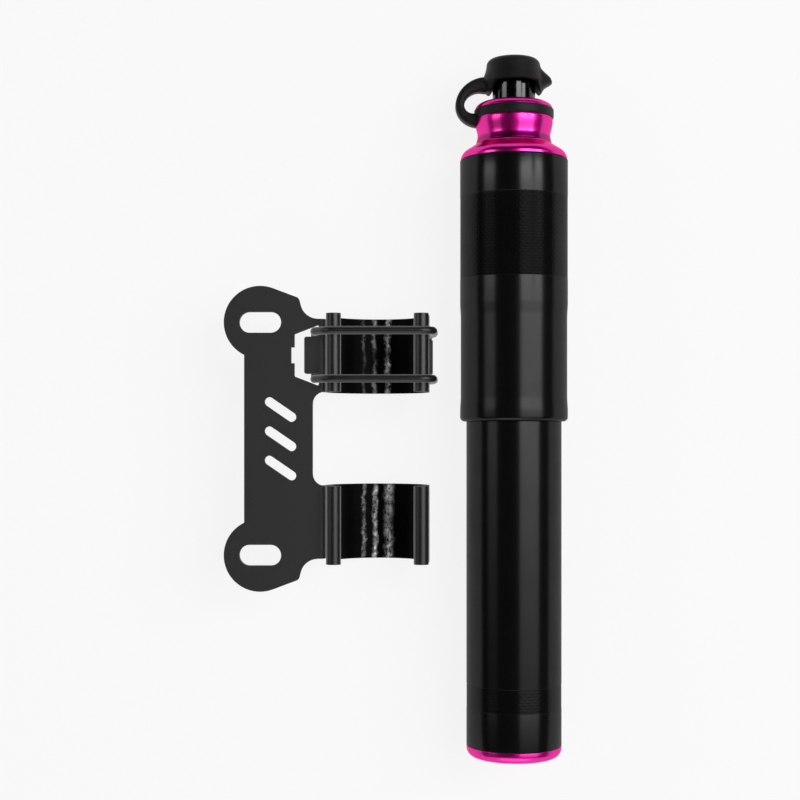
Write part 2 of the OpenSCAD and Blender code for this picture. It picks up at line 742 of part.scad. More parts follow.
// A coil of round wire that stands on the ball's shoulder.
module valve_spring() {
  per_turn = 14;
  sides = 6;
  rise = spring_l - spring_wire_d;
  last = spring_turns * per_turn;
  rings = [for (i = [0 : last], k = [0 : sides - 1])
    let (
      a = 360 * i / per_turn,
      w = spring_d / 2 + spring_wire_d / 2 * cos(360 * k / sides),
      h = spring_z + spring_wire_d / 2 + rise * i / last + spring_wire_d / 2 * sin(360 * k / sides)
    )
    [w * cos(a), w * sin(a), h]
  ];
  faces = concat(
    [[for (k = [0 : sides - 1]) k]],
    [for (i = [0 : last - 1], k = [0 : sides - 1])
      let (m = (k + 1) % sides)
      [i * sides + k, (i + 1) * sides + k, (i + 1) * sides + m, i * sides + m]],
    [[for (k = [sides - 1 : -1 : 0]) last * sides + k]]
  );
  color([0.8, 0.8, 0.82]) pump_frame() polyhedron(rings, faces, convexity = 10);
}

module valve_retainer() {
  z = spring_z + spring_l;
  color([0.75, 0.75, 0.77]) pump_frame() tube(z, retainer_t, rod_bore_d / 2, retainer_hole_d / 2);
}

module stroke_bumper() {
  color([0.12, 0.12, 0.12]) pump_frame() tube(piston_top, stroke_bumper_t, stroke_bumper_d / 2, rod_r);
}

module bumper() {
  color([0.12, 0.12, 0.12]) pump_frame() tube(collar_z - bumper_t, bumper_t, bumper_d / 2, rod_r);
}

// ---- pump: barrel ----

module barrel() {
  band_z = barrel_z + barrel_band_at;
  color([0.05, 0.05, 0.055]) pump_frame() difference() {
    rotate_extrude() polygon([
      [bore_r, barrel_z], [barrel_r, barrel_z],
      [barrel_r, band_z], [barrel_r - band_depth, band_z + band_depth],
      [barrel_r - band_depth, band_z + barrel_band_w - band_depth], [barrel_r, band_z + barrel_band_w],
      [barrel_r, mouth_z], [bore_r, mouth_z]
    ]);
  }
}

module rod_guide() {
  web_z = flange_z - guide_web_t;
  skirt_z = mouth_z - guide_l;
  vent_at = (rod_r + bore_r - guide_skirt_wall) / 2 + 0.3;
  color([0.15, 0.15, 0.16]) pump_frame() difference() {
    union() {
      translate([0, 0, mouth_z]) cylinder(r = barrel_r, h = guide_flange_t);
      translate([0, 0, skirt_z]) cylinder(r = bore_r, h = guide_l + eps);
    }
    translate([0, 0, skirt_z - eps]) cylinder(r = bore_r - guide_skirt_wall, h = web_z - skirt_z + eps);
    translate([0, 0, web_z - eps]) cylinder(r = rod_r + run, h = guide_web_t + 2 * eps);
    for (i = [0 : vent_count - 1]) rotate([0, 0, 360 * (i + 0.5) / vent_count])
      translate([vent_at, 0, web_z - eps]) cylinder(d = vent_d, h = guide_web_t + 2 * eps, $fn = 24);
  }
}

module tail_cap() {
  plug_top = tail_cap_t + tail_plug_l;
  groove = tail_seal_d;
  color([0.85, 0.08, 0.6]) pump_frame() difference() {
    rotate_extrude() polygon(concat(
      [[0, 0]],
      arc([barrel_r - tail_round, tail_round], tail_round, -90, 0, 9),
      [[barrel_r, tail_cap_t], [plug_r, tail_cap_t], [plug_r, plug_top], [0, plug_top]]
    ));
    tube(plug_top - 2 - groove, groove, plug_r + 1, plug_r - tail_seal_d);
    translate([0, 0, tail_cap_t]) cylinder(r = plug_r - tail_plug_wall, h = tail_plug_l + eps);
  }
}

module tail_seal() {
  color([0.1, 0.1, 0.1]) pump_frame()
    o_ring(tail_cap_t + tail_plug_l - 2 - tail_seal_d / 2, plug_r, tail_seal_d);
}

// ---- bracket ----

// Outline of the plate. Its right side ends under the fold, and its ears carry the bolt slots.
module plate_outline() {
  ear = [-slot_offset, slot_pitch / 2];
  shoulder = [-shoulder_x, slot_pitch / 2 + shoulder_out];
  rest = touch(ear, ear_r, shoulder, 1);
  side = ear[1] - sqrt(pow(ear_r, 2) - pow(plate_edge, 2));
  upper = [
    [fold_x, arm_y, 0], [fold_x - arm_w, arm_y, 5], [shoulder[0], shoulder[1], 1.2],
    [rest[0], rest[1], 0], [ear[0], ear[1], 0], [plate_left, side, 0]
  ];
  neck = [-notch_x, clip_gap / 2, notch_r];
  difference() {
    union() {
      polygon(rounded(concat(
        [[fold_x, clip_gap / 2, 0]],
        upper,
        [for (i = [len(upper) - 1 : -1 : 0]) [upper[i][0], -upper[i][1], upper[i][2]]],
        [[fold_x, -clip_gap / 2, 0], [neck[0], -neck[1], neck[2]], neck]
      )));
      for (side = [-1, 1]) translate([ear[0], side * ear[1]]) circle(ear_r);
    }
    for (side = [-1, 1]) translate([ear[0], side * ear[1]]) slot(slot_l - slot_w, slot_w / 2);
    for (i = [-1 : 1]) translate([slant_shift - slot_offset, i * slant_pitch])
      rotate(-slant_angle) slot(slant_l, slant_w / 2);
    window();
  }
}

// Window beside the upper clip, with the tongue that the band hooks behind.
module window() {
  half = [
    [window_left, window_w / 2 - window_taper, 0.4], [window_right, window_w / 2, 0.3],
    [window_right, tongue_w / 2, 0], [window_right - tongue_l, tongue_w / 2, 0.6]
  ];
  translate([0, tongue_y]) {
    polygon(rounded(concat(
      half,
      [for (i = [len(half) - 1 : -1 : 0]) [half[i][0], -half[i][1], half[i][2]]]
    ), 3));
    translate([window_left - pocket_l, -pocket_w / 2]) square([pocket_l + 1, pocket_w]);
  }
}

// Section of one clip: a C with a round bead on each lip.
module clip_section() {
  lip = atan2(bead_z, bead_x);
  difference() {
    circle(clip_out);
    circle(clip_r);
    polygon([
      [0, 0], 2 * clip_out * [cos(lip), sin(lip)], [0, 3 * clip_out],
      2 * clip_out * [-cos(lip), sin(lip)]
    ]);
  }
  for (side = [-1, 1]) translate([side * bead_x, bead_z]) circle(bead_r, $fn = 48);
}

// Section of the web, from the rounded fold at the plate down into the clip's wall.
module web_section() {
  under = plate_top - plate_t;
  polygon(concat(
    [[-clip_r - clip_wall / 2, 0], [-clip_out, 0], [web_x - web_t, 2.6], [web_x - web_t, under - 0.2]],
    [[window_right, under], [window_right, plate_top]],
    arc([fold_x, plate_top - fold_r], fold_r, 90, 0, 5)
  ));
}

module bracket() {
  color([0.16, 0.16, 0.165]) bracket_frame() {
    translate([0, 0, plate_top - plate_t]) linear_extrude(plate_t) plate_outline();
    for (side = [-1, 1]) {
      translate([0, side * clip_mid, 0]) rotate([90, 0, 0]) linear_extrude(clip_l, center = true)
        clip_section();
      translate([0, side * (clip_gap / 2 + arm_y) / 2, 0]) rotate([90, 0, 0])
        linear_extrude(arm_y - clip_gap / 2, center = true) web_section();
    }
    // ledge on the upper clip's far wall, which keeps the band's end up
    difference() {
      translate([clip_out - 2, tongue_y - tongue_w / 2 + 0.4, -ledge_low])
        cube([ledge_out + 2, tongue_w - 0.8, ledge_t]);
      translate([0, tongue_y, 0]) rotate([90, 0, 0]) cylinder(r = clip_r + 0.4, h = 2 * tongue_w, center = true);
    }
  }
}

// ---- retaining band ----

// The band is one loop: over both beads, down behind the tongue on one side and under the ledge on the other.
module retaining_band() {
  r = band_d / 2;
  skin = r + 0.12;                     // from a surface to the cord's middle line
  left = window_right - skin;
  down = plate_top - plate_t - skin;
  turn = 1.5;                          // bend of the cord under the tongue
  wall = clip_out + skin;
  over = bead_r + skin;
  // where the straight from the window's edge leaves for the bead, and where the bead's bend meets the wall
  lean = atan2(bead_z - plate_top, -bead_x - window_right)
    + asin((over - skin) / norm([bead_z - plate_top, -bead_x - window_right])) + 90;
  meet = atan2(bead_z, bead_x) - 180 + acos((bead_r - clip_out) / norm([bead_x, bead_z]));
  below = -asin((ledge_low + skin) / wall);
  swing = 6.6;                         // how far the end bends on below the ledge, in degrees
  reach = 1.8;
  strand = concat(
    // from the middle of the turn behind the tongue, up through the window
    [[left, 0, down]],
    [for (p = arc([strand_y - turn, down + turn], turn, -90, 0, 4)) [left, p[0], p[1]]],
    [for (p = arc([window_right, plate_top], skin + 0.05, 180, lean, 3)) [p[0], strand_y, p[1]]],
    // over both beads
    [for (p = arc([-bead_x, bead_z], over + 0.03, lean, 90, 4)) [p[0], strand_y, p[1]]],
    [for (x = [-bead_x / 2, 0, bead_x / 2]) [x, strand_y, bead_z + over + 0.03]],
    [for (p = arc([bead_x, bead_z], over + 0.03, 90, meet, 6)) [p[0], strand_y, p[1]]],
    // down along the clip's wall and round under the ledge
    [for (a = [meet, (meet + below) / 2]) (wall + 0.05) * [cos(a), 0, sin(a)] + [0, strand_y, 0]],
    [for (p = arc([0, 0], 1, 0, 90, 4))
      let (a = below - swing * p[1])
      [(wall + 0.05) * cos(a), strand_y - reach * (1 - p[0]), (wall + 0.05) * sin(a)]],
    [[wall * cos(below - swing), 0, wall * sin(below - swing)]]
  );
  count = len(strand);
  loop = concat(
    strand,
    [for (i = [count - 2 : -1 : 1]) [strand[i][0], -strand[i][1], strand[i][2]]]
  );
  color([0.06, 0.06, 0.06]) bracket_frame() translate([0, tongue_y, 0]) loop_tube(loop, r, 10);
}

sleeve();
guide_ring();
head_collar();
cap_ring();
cap_strap();
dust_cap();
chuck_body();
chuck_insert();
chuck_gasket();
hose_ferrule();
hose();
hose_stop();
hose_seal();
piston_rod();
piston();
piston_seal();
valve_ball();
valve_spring();
valve_retainer();
stroke_bumper();
bumper();
rod_guide();
barrel();
tail_cap();
tail_seal();
bracket();
retaining_band();
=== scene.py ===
# %% [markdown]
# # A mini pump and its frame bracket
# A hand pump of black and pink anodised aluminium lies beside the bracket that carries it on a
# bicycle frame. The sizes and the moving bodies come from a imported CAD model, the frame. This
# script dresses that frame: it carves smooth surfaces, mixes the finishes and lights the bench.

# %% Load the frame
import json
import math

import bmesh
import bpy
import numpy as np
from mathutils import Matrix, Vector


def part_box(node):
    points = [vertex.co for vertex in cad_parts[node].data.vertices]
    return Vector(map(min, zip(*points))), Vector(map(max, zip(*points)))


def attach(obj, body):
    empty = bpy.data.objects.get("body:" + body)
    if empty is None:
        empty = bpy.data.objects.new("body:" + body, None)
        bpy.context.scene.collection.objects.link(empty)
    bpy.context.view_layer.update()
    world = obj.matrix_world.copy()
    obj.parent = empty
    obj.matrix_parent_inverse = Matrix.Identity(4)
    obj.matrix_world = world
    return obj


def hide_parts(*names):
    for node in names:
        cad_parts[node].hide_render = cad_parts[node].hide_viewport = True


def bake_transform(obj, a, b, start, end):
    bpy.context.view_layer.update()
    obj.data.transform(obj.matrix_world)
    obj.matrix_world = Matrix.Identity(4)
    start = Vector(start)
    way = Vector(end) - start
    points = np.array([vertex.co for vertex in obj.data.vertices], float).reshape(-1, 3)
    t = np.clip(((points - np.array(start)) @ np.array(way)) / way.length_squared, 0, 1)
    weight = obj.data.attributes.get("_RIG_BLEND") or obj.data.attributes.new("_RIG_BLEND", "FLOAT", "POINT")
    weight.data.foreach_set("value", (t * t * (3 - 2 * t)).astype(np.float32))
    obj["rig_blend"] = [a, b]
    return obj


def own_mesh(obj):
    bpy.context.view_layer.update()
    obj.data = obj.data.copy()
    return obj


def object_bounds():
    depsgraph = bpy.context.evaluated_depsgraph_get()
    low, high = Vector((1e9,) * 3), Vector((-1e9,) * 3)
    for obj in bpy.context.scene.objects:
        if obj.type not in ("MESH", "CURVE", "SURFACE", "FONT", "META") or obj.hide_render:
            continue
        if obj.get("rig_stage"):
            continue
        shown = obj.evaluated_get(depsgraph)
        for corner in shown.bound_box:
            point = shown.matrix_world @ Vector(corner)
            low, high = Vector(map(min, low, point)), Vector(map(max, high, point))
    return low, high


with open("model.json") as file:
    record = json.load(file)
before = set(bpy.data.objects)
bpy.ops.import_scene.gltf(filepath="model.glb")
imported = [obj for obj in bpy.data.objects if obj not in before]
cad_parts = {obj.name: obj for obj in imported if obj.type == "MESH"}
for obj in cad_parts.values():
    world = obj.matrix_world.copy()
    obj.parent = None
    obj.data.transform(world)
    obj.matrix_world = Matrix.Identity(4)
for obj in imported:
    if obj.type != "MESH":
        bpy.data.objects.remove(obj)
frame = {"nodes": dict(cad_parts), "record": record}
cad_box = [list(corner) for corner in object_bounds()]
MM = 0.001
print("CAD box in mm:", [[round(v / MM, 1) for v in corner] for corner in cad_box])

# %% [markdown]
# The pump is a stack of turned parts on one axis, so every place on it is told by two numbers: the
# distance s from the tail end and the radius r. The axis is read from the barrel's own box, which
# keeps the dressing on the CAD model wherever that model lies.

# %% Where the pump's axis and the bracket's axis lie
low, high = (np.array(corner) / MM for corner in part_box("barrel"))
AXIS_X, AXIS_Z = (low[0] + high[0]) / 2, (low[2] + high[2]) / 2
TAIL_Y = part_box("tail_cap")[0].y / MM
BARREL_R = (high[0] - low[0]) / 2
SLEEVE_R = (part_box("sleeve")[1].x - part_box("sleeve")[0].x) / 2 / MM
CLIP_WALL = 1.2
CLIP_X = -5.4
CLIP_Z = BARREL_R + CLIP_WALL
CLIP_Y = -8.7
BEAD_R, BEAD_X = 2.05, 12.0
BEAD_Z = math.sqrt((BARREL_R + 0.15 + BEAD_R) ** 2 - BEAD_X ** 2)


def along(node):
    """First and last place of a CAD node on the pump, measured from the tail end in mm."""
    first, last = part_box(node)
    return first.y / MM - TAIL_Y, last.y / MM - TAIL_Y


print("axis at x, z:", round(AXIS_X, 2), round(AXIS_Z, 2), "tail at y:", round(TAIL_Y, 2))

# %% [markdown]
# A mesh that is a grid needs no faces typed by hand: face (i, j) joins four neighbouring points. The
# last column always joins the first, and the last row does where the surface closes on itself. numpy
# writes the whole list at once.

# %% Grid of points to mesh
MERGE = 1e-7


def surface(name, grid, loop_rows=False, sharp=38):
    """Mesh of a grid (rows, columns, 3) in mm: one face between neighbouring rows and columns."""
    rows, columns = grid.shape[:2]
    i = np.arange(rows if loop_rows else rows - 1)[:, None]
    j = np.arange(columns)[None, :]
    i2, j2 = (i + 1) % rows, (j + 1) % columns
    corners = np.broadcast_arrays(
        i * columns + j, i * columns + j2, i2 * columns + j2, i2 * columns + j)
    faces = np.stack(corners, -1).reshape(-1, 4)
    mesh = bpy.data.meshes.new(name)
    mesh.vertices.add(rows * columns)
    mesh.vertices.foreach_set("co", (grid * MM).astype(np.float32).ravel())
    mesh.loops.add(faces.size)
    mesh.loops.foreach_set("vertex_index", faces.astype(np.int32).ravel())
    mesh.polygons.add(len(faces))
    mesh.polygons.foreach_set("loop_start", np.arange(0, faces.size, 4, dtype=np.int32))
    mesh.update(calc_edges=True)
    piece = bpy.data.objects.new(name, mesh)
    bpy.context.scene.collection.objects.link(piece)
    tidy(mesh, sharp)
    return piece


def tidy(mesh, sharp):
    """Joins doubled points, turns the faces outwards and shades them smooth up to a sharp angle."""
    bm = bmesh.new()
    bm.from_mesh(mesh)
    bmesh.ops.remove_doubles(bm, verts=bm.verts, dist=MERGE)
    bmesh.ops.dissolve_degenerate(bm, edges=bm.edges, dist=MERGE)
    bmesh.ops.recalc_face_normals(bm, faces=bm.faces)
    bm.to_mesh(mesh)
    bm.free()
    mesh.shade_smooth()
    mesh.set_sharp_from_angle(angle=math.radians(sharp))


# %% [markdown]
# No machined edge is truly sharp. A profile is therefore given as a few corners, each with a radius,
# and a function swaps each corner for the arc that touches both of its sides.

# %% Rounded profiles
def rounded(corners, steps=6, loop=True):
    """Profile through corners (s, r, radius): each becomes an arc tangent to its two sides."""
    corners = np.array(corners, float)
    count, out = len(corners), []
    for k, (s, r, radius) in enumerate(corners):
        here = np.array([s, r])
        at_end = not loop and k in (0, count - 1)
        if radius <= 0 or at_end:
            out.append(here[None])
            continue
        before, after = corners[(k - 1) % count, :2] - here, corners[(k + 1) % count, :2] - here
        u, v = before / np.linalg.norm(before), after / np.linalg.norm(after)
        half = math.acos(np.clip(u @ v, -1, 1)) / 2
        centre = here + (u + v) / np.linalg.norm(u + v) * radius / math.sin(half)
        reach = radius / math.tan(half)
        first, last = here + u * reach - centre, here + v * reach - centre
        a = math.atan2(first[1], first[0])
        turn = math.atan2(first[0] * last[1] - first[1] * last[0], first @ last)
        t = a + turn * np.linspace(0, 1, steps + 1)
        out.append(centre + radius * np.stack([np.cos(t), np.sin(t)], -1))
    return np.vstack(out)


def turned(name, profile, around=192, loop=True, relief=None):
    """Solid of revolution: point (s, r) goes round the axis at radius r + relief(s, r, angle)."""
    s, r = profile[:, 0][:, None], profile[:, 1][:, None]
    angle = np.linspace(0, 2 * math.pi, around, endpoint=False)[None, :]
    radius = r + (0 if relief is None else relief(s, r, angle)) + 0 * angle
    grid = np.stack([
        AXIS_X + radius * np.cos(angle), TAIL_Y + s + 0 * angle, AXIS_Z + radius * np.sin(angle)
    ], -1)
    return surface(name, grid, loop_rows=loop)


# %% [markdown]
# ## Finishes
# A shader is arithmetic on values that change over the surface. The small class below wraps one
# output of a node, so that `1 - mask * 0.4` adds the Math nodes by itself.

# %% Shader arithmetic
class Value:
    """One number that varies over a surface. + - * and / add Math nodes."""

    def __init__(self, tree, socket):
        self.tree, self.socket = tree, socket

    def math(self, operation, a, b=None):
        inputs = {0: a} if b is None else {0: a, 1: b}
        return make(self.tree, "ShaderNodeMath", {"operation": operation}, inputs)

    def __add__(self, other):
        return self.math("ADD", self, other)

    def __sub__(self, other):
        return self.math("SUBTRACT", self, other)

    def __rsub__(self, other):
        return self.math("SUBTRACT", other, self)

    def __mul__(self, other):
        return self.math("MULTIPLY", self, other)

    def __truediv__(self, other):
        return self.math("DIVIDE", self, other)

    __radd__, __rmul__ = __add__, __mul__

    def between(self, start, end):
        """0 below start, 1 above end, and a smooth step from one to the other."""
        return make(self.tree, "ShaderNodeMapRange", {"interpolation_type": "SMOOTHSTEP"},
                    {0: self, 1: start, 2: end, 3: 0.0, 4: 1.0})


def make(tree, kind, settings=None, inputs=None, output=0):
    """Adds a node: its settings first, then each input gets a link or a plain value."""
    node = tree.nodes.new(kind)
    for key, value in (settings or {}).items():
        setattr(node, key, value)
    for key, value in (inputs or {}).items():
        if isinstance(value, Value):
            tree.links.new(value.socket, node.inputs[key])
        else:
            node.inputs[key].default_value = value
    return Value(tree, node.outputs[output])


# %% [markdown]
# All the patterns here are read from Object coordinates. Every piece keeps its place in its mesh, so
# these are simply metres on the bench, and a pattern carries on from one piece to the next.

# %% Patterns that the finishes share
def place(tree, centre=(0, 0, 0), stretch=(1, 1, 1)):
    """Object coordinates in millimetres, moved to a centre and stretched along each axis."""
    scale = [1 / MM * k for k in stretch]
    shift = [-c * k for c, k in zip(centre, stretch)]
    spot = make(tree, "ShaderNodeTexCoord", output=3)
    return make(tree, "ShaderNodeMapping", None, {"Vector": spot, "Location": shift, "Scale": scale})


def noise(tree, where, size, detail=2.0, roughness=0.5):
    """Cloudy noise from 0 to 1 whose blotches are about `size` millimetres across."""
    return make(tree, "ShaderNodeTexNoise", None, {
        "Vector": where, "Scale": 1 / size, "Detail": detail, "Roughness": roughness})


def axis_rings(tree, squeeze):
    """Noise squeezed hard along Y, which leaves fine rings round the pump's axis."""
    return noise(tree, place(tree, stretch=(0.02, squeeze, 0.02)), 1, 3)


def pump_place(tree):
    """Place along the pump, measured from its tail end in mm."""
    return make(tree, "ShaderNodeSeparateXYZ", None, {0: place(tree)}, 1) - TAIL_Y


def blend_colour(tree, amount, first, second):
    """Colour that goes from first to second as amount goes from 0 to 1."""
    node = tree.nodes.new("ShaderNodeMix")
    node.data_type = "RGBA"
    for key, value in ((0, amount), (6, first), (7, second)):
        if isinstance(value, Value):
            tree.links.new(value.socket, node.inputs[key])
        else:
            node.inputs[key].default_value = value if key == 0 else (*value, 1)
    return Value(tree, node.outputs[2])


def bump(tree, height, strength, depth):
    """Normal tilted by a height from 0 to 1 that stands for `depth` millimetres."""
    return make(tree, "ShaderNodeBump", None, {
        "Strength": strength, "Distance": depth * MM, "Height": height})


def finish(name, paint):
    """New material whose Principled shader gets the sockets that paint(tree) returns."""
    material = bpy.data.materials.new(name)
    material.use_nodes = True
    tree = material.node_tree
    shader = tree.nodes["Principled BSDF"]
    for key, value in paint(tree).items():
        if isinstance(value, Value):
            tree.links.new(value.socket, shader.inputs[key])
        else:
            shader.inputs[key].default_value = (*value, 1) if isinstance(value, tuple) else value
    return material


# %% [markdown]
# ### Anodised aluminium
# Anodising turns the skin of the metal into a clear, hard oxide that takes dye. Dyed black, nearly all
# that one sees is the gloss of that oxide over a black ground, so the finish is a dark base without
# gloss of its own under a coat with the oxide's high index. Where the tube is knurled for the hand the
# gloss breaks up, so the coat thins there. Dyed pink, the metal below shines through the colour. In the
# tight hollow at the foot of the neck the pink is painted much darker: painted shade in that crease.
# Turning leaves fine rings round the axis, which is noise squeezed hard along Y.

# %% Black and pink anodising
GRIP_FROM, GRIP_TO = (along("sleeve")[0] + k for k in (39.6, 62.4))
BAND_FROM, BAND_TO = (along("barrel")[0] + k for k in (10.5, 17.2))
# Middle of the painted shade in the hollow at the foot of the collar's neck.
SHADED_HOLLOW = along("sleeve")[1] + 4.9


def within(s, first, last, fade_in=0.1, fade_out=0.1):
    """1 between two places along the pump, with a soft step inside each end."""
    return s.between(first, first + fade_in) * (1 - s.between(last - fade_out, last))


def black_anodised(tree):
    """Dark ground under a clear coat that thins where the tube is knurled."""
    cloud, rings = noise(tree, place(tree), 6), axis_rings(tree, 6)
    s = pump_place(tree)
    grip, band = within(s, GRIP_FROM, GRIP_TO), within(s, BAND_FROM, BAND_TO)
    edge_on = make(tree, "ShaderNodeLayerWeight", None, {"Blend": 0.5}, 1)
    dull = (grip * 0.9 + band * 0.5) * (1 - edge_on.between(0.1, 0.5) * 0.8)
    return {
        "Base Color": blend_colour(tree, cloud, (0.0034, 0.0034, 0.0036), (0.0050, 0.0050, 0.0052)),
        "Roughness": 0.5 + cloud * 0.1,
        "Specular IOR Level": 0.0,
        "Coat Weight": (0.20 + cloud * 0.06 + rings * 0.04) * (1 - dull),
        "Coat IOR": 1.8,
        "Coat Roughness": 0.2,
        "Normal": bump(tree, rings, 0.2, 0.01),
    }


def pink_anodised(tree):
    """Coloured metal under a thin coat, with painted shade that darkens the hollow at the neck's foot."""
    cloud, rings = noise(tree, place(tree), 4), axis_rings(tree, 7)
    # Painted shade: the base colour turns deep purple in the crease at the neck's foot.
    hollow = within(pump_place(tree), SHADED_HOLLOW - 0.7, SHADED_HOLLOW + 2.2, 0.7, 1.3)
    bright = blend_colour(tree, cloud, (0.80, 0.010, 0.32), (0.88, 0.016, 0.40))
    return {
        "Base Color": blend_colour(tree, hollow * 0.75, bright, (0.16, 0.003, 0.08)),
        "Metallic": 1.0,
        "Roughness": 0.29 + rings * 0.08,
        "Specular Tint": (1.0, 0.10, 0.55),
        "Coat Weight": 0.16 + cloud * 0.08,
        "Coat IOR": 2.2,
        "Coat Roughness": 0.1,
        "Normal": bump(tree, rings, 0.3, 0.008),
    }


# %% [markdown]
# ### The bracket
# The bracket is cut from an extruded bar, blasted and dyed black. Blasting leaves a dull grey skin on
# the plate, a fine even grain. Inside the clips, three streaks along the axis are painted reflections:
# bright bare metal painted where the lamps' reflections fall. Each streak is a band of x whose edges
# wander with noise along y, and a finer noise breaks it up: bright metal on black. The painted
# reflections in the upper clip are fainter. The beads shine more than the plate, because the barrel
# rubs them each time it snaps in.

# %% Bracket finish
def blasted(rough):
    """Finish of the blasted and dyed skin at a given roughness."""
    def paint(tree):
        grain = noise(tree, place(tree), 0.35, 3, 0.6)
        cloud = noise(tree, place(tree), 9)
        return {
            "Base Color": blend_colour(tree, cloud, (0.0115, 0.0115, 0.0118), (0.0135, 0.0135, 0.0138)),
            "Roughness": rough + cloud * 0.08,
            "Specular IOR Level": 0.5,
            "Normal": bump(tree, grain, 0.6, 0.025),
        }
    return paint


# Middle, half width and strength of each painted reflection streak, in the lower clip and in the upper one.
LOWER_STREAKS = ((-4.2, 0.6, 0.55), (-1.0, 0.8, 1.0), (3.0, 1.4, 0.9))
UPPER_STREAKS = ((-4.2, 0.5, 0.16), (-1.2, 0.7, 0.40), (2.6, 0.9, 0.9))


def clip_bore(tree):
    """Black ground with painted reflections: bright bare metal in streaks along y."""
    wander = noise(tree, place(tree, stretch=(0.4, 1, 0.4)), 3, 4, 0.7)
    streak_mottle = noise(tree, place(tree, stretch=(1, 0.6, 1)), 0.8, 3, 0.7)
    fading = noise(tree, place(tree, stretch=(0.6, 1, 0.6)), 7)
    spot = place(tree, (CLIP_X, CLIP_Y, 0))
    across = make(tree, "ShaderNodeSeparateXYZ", None, {0: spot}) + (wander - 0.5) * 2.4
    upper = make(tree, "ShaderNodeSeparateXYZ", None, {0: spot}, 1).between(-1, 1)
    low, high = [
        [(1 - (across.math("ABSOLUTE", across - middle) / half).between(0, 1.35)) * weight
         for middle, half, weight in streaks] for streaks in (LOWER_STREAKS, UPPER_STREAKS)]
    bands = (low[0] + low[1] + low[2]) * (1 - upper) + (high[0] + high[1] + high[2]) * upper
    # Painted reflection: where this mask is high the bore is painted bright metal, in three streaks.
    painted_streak = bands * streak_mottle.between(0.3, 0.65) * fading.between(0.25, 0.6)
    return {
        "Base Color": blend_colour(tree, painted_streak, (0.0020, 0.0020, 0.0021), (0.90, 0.90, 0.91)),
        "Metallic": painted_streak,
        "Roughness": 0.42 - painted_streak * 0.08,
        "Specular IOR Level": 0.03,
        "Normal": bump(tree, streak_mottle * painted_streak + wander * 0.5, 1.0, 0.35),
    }


# %% [markdown]
# ### Rubber and plastic
# Rubber has a faint bloom: a grey dust of wax that dulls it unevenly. Moulded plastic has a finer,
# harder texture, and a rod or a ball of steel only shows its polish.

# %% Rubber, plastic and bare metals
def rubber(dark, light, rough, gloss=0.2):
    """Finish between two greys, mottled by bloom, with a fine grain."""
    def paint(tree):
        bloom = noise(tree, place(tree), 5, 4, 0.6)
        grain = noise(tree, place(tree), 0.25, 2)
        return {
            "Base Color": blend_colour(tree, bloom.between(0.3, 0.8), (dark,) * 3, (light,) * 3),
            "Roughness": rough + bloom * 0.1,
            "Specular IOR Level": gloss,
            "Normal": bump(tree, grain, 0.25, 0.02),
        }
    return paint


def gloss_black(tree):
    """Polished black plastic with a faint waviness."""
    cloud = noise(tree, place(tree), 2)
    return {
        "Base Color": blend_colour(tree, cloud, (0.0008,) * 3, (0.0020,) * 3),
        "Roughness": 0.11 + cloud * 0.04,
        "Specular IOR Level": 0.5,
        "Normal": bump(tree, noise(tree, place(tree), 0.3), 0.1, 0.01),
    }


def metal(colour, rough):
    """Finish of bare turned metal with rings round the pump's axis."""
    def paint(tree):
        cloud, rings = noise(tree, place(tree), 3), axis_rings(tree, 6)
        return {
            "Base Color": blend_colour(tree, cloud, tuple(0.9 * c for c in colour), colour),
            "Metallic": 1.0,
            "Roughness": rough + rings * 0.1,
            "Normal": bump(tree, rings, 0.3, 0.01),
        }
    return paint


FINISHES = {
    "black_anodised": black_anodised,
    "magenta_anodised": pink_anodised,
    "bracket_black": blasted(0.54),
    "clip_bore": clip_bore,
    "bead_black": blasted(0.28),
    "black_rubber": rubber(0.006, 0.010, 0.45),
    "hose_rubber": rubber(0.006, 0.012, 0.45),
    "cord_rubber": rubber(0.008, 0.014, 0.30, 0.45),
    "slide_plastic": rubber(0.03, 0.04, 0.40),
    "piston_plastic": rubber(0.55, 0.62, 0.38),
    "chuck_black": gloss_black,
    "insert_brass": metal((0.72, 0.46, 0.18), 0.24),
    "bare_alloy": metal((0.68, 0.69, 0.71), 0.28),
    "rod_alloy": metal((0.74, 0.75, 0.78), 0.18),
    "valve_steel": metal((0.62, 0.62, 0.64), 0.12),
}
MATERIALS = {slot: finish(slot, paint) for slot, paint in FINISHES.items()}
SLOTS = {part["node"]: part["material_slot"] for part in frame["record"]["subparts"]}
for node, cad in frame["nodes"].items():
    cad.data.materials.clear()
    cad.data.materials.append(MATERIALS[SLOTS[node]])
print(len(MATERIALS), "finishes;", len(SLOTS), "CAD nodes painted")


def fit(piece, body, slot, *nodes):
    """Gives a finished piece its material and its body, and hides the CAD nodes that it stands for."""
    piece.data.materials.clear()
    piece.data.materials.append(MATERIALS[slot])
    if nodes:
        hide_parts(*nodes)
    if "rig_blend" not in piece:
        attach(piece, body)
    print(piece.name, len(piece.data.polygons), "faces on", body)
    return piece


# %% [markdown]
# ## The sleeve
# The black sleeve slides over the barrel and is what the hand pulls. Between its foot and its grip it
# draws in by a fifth of a millimetre, as a waist. The grip is a band of short raised dashes in rows,
# staggered like bricks. They are real relief: the radius of each point of the turned surface moves
# out by a product of two rounded waves, one along the axis and one round it.

# %% Sleeve with its grip
ROW, STEPS, SUNK = 0.8, 5, 0.06
DASH_HEIGHT, GRIP_DASHES, BAND_DASHES = 0.025, 48, 42


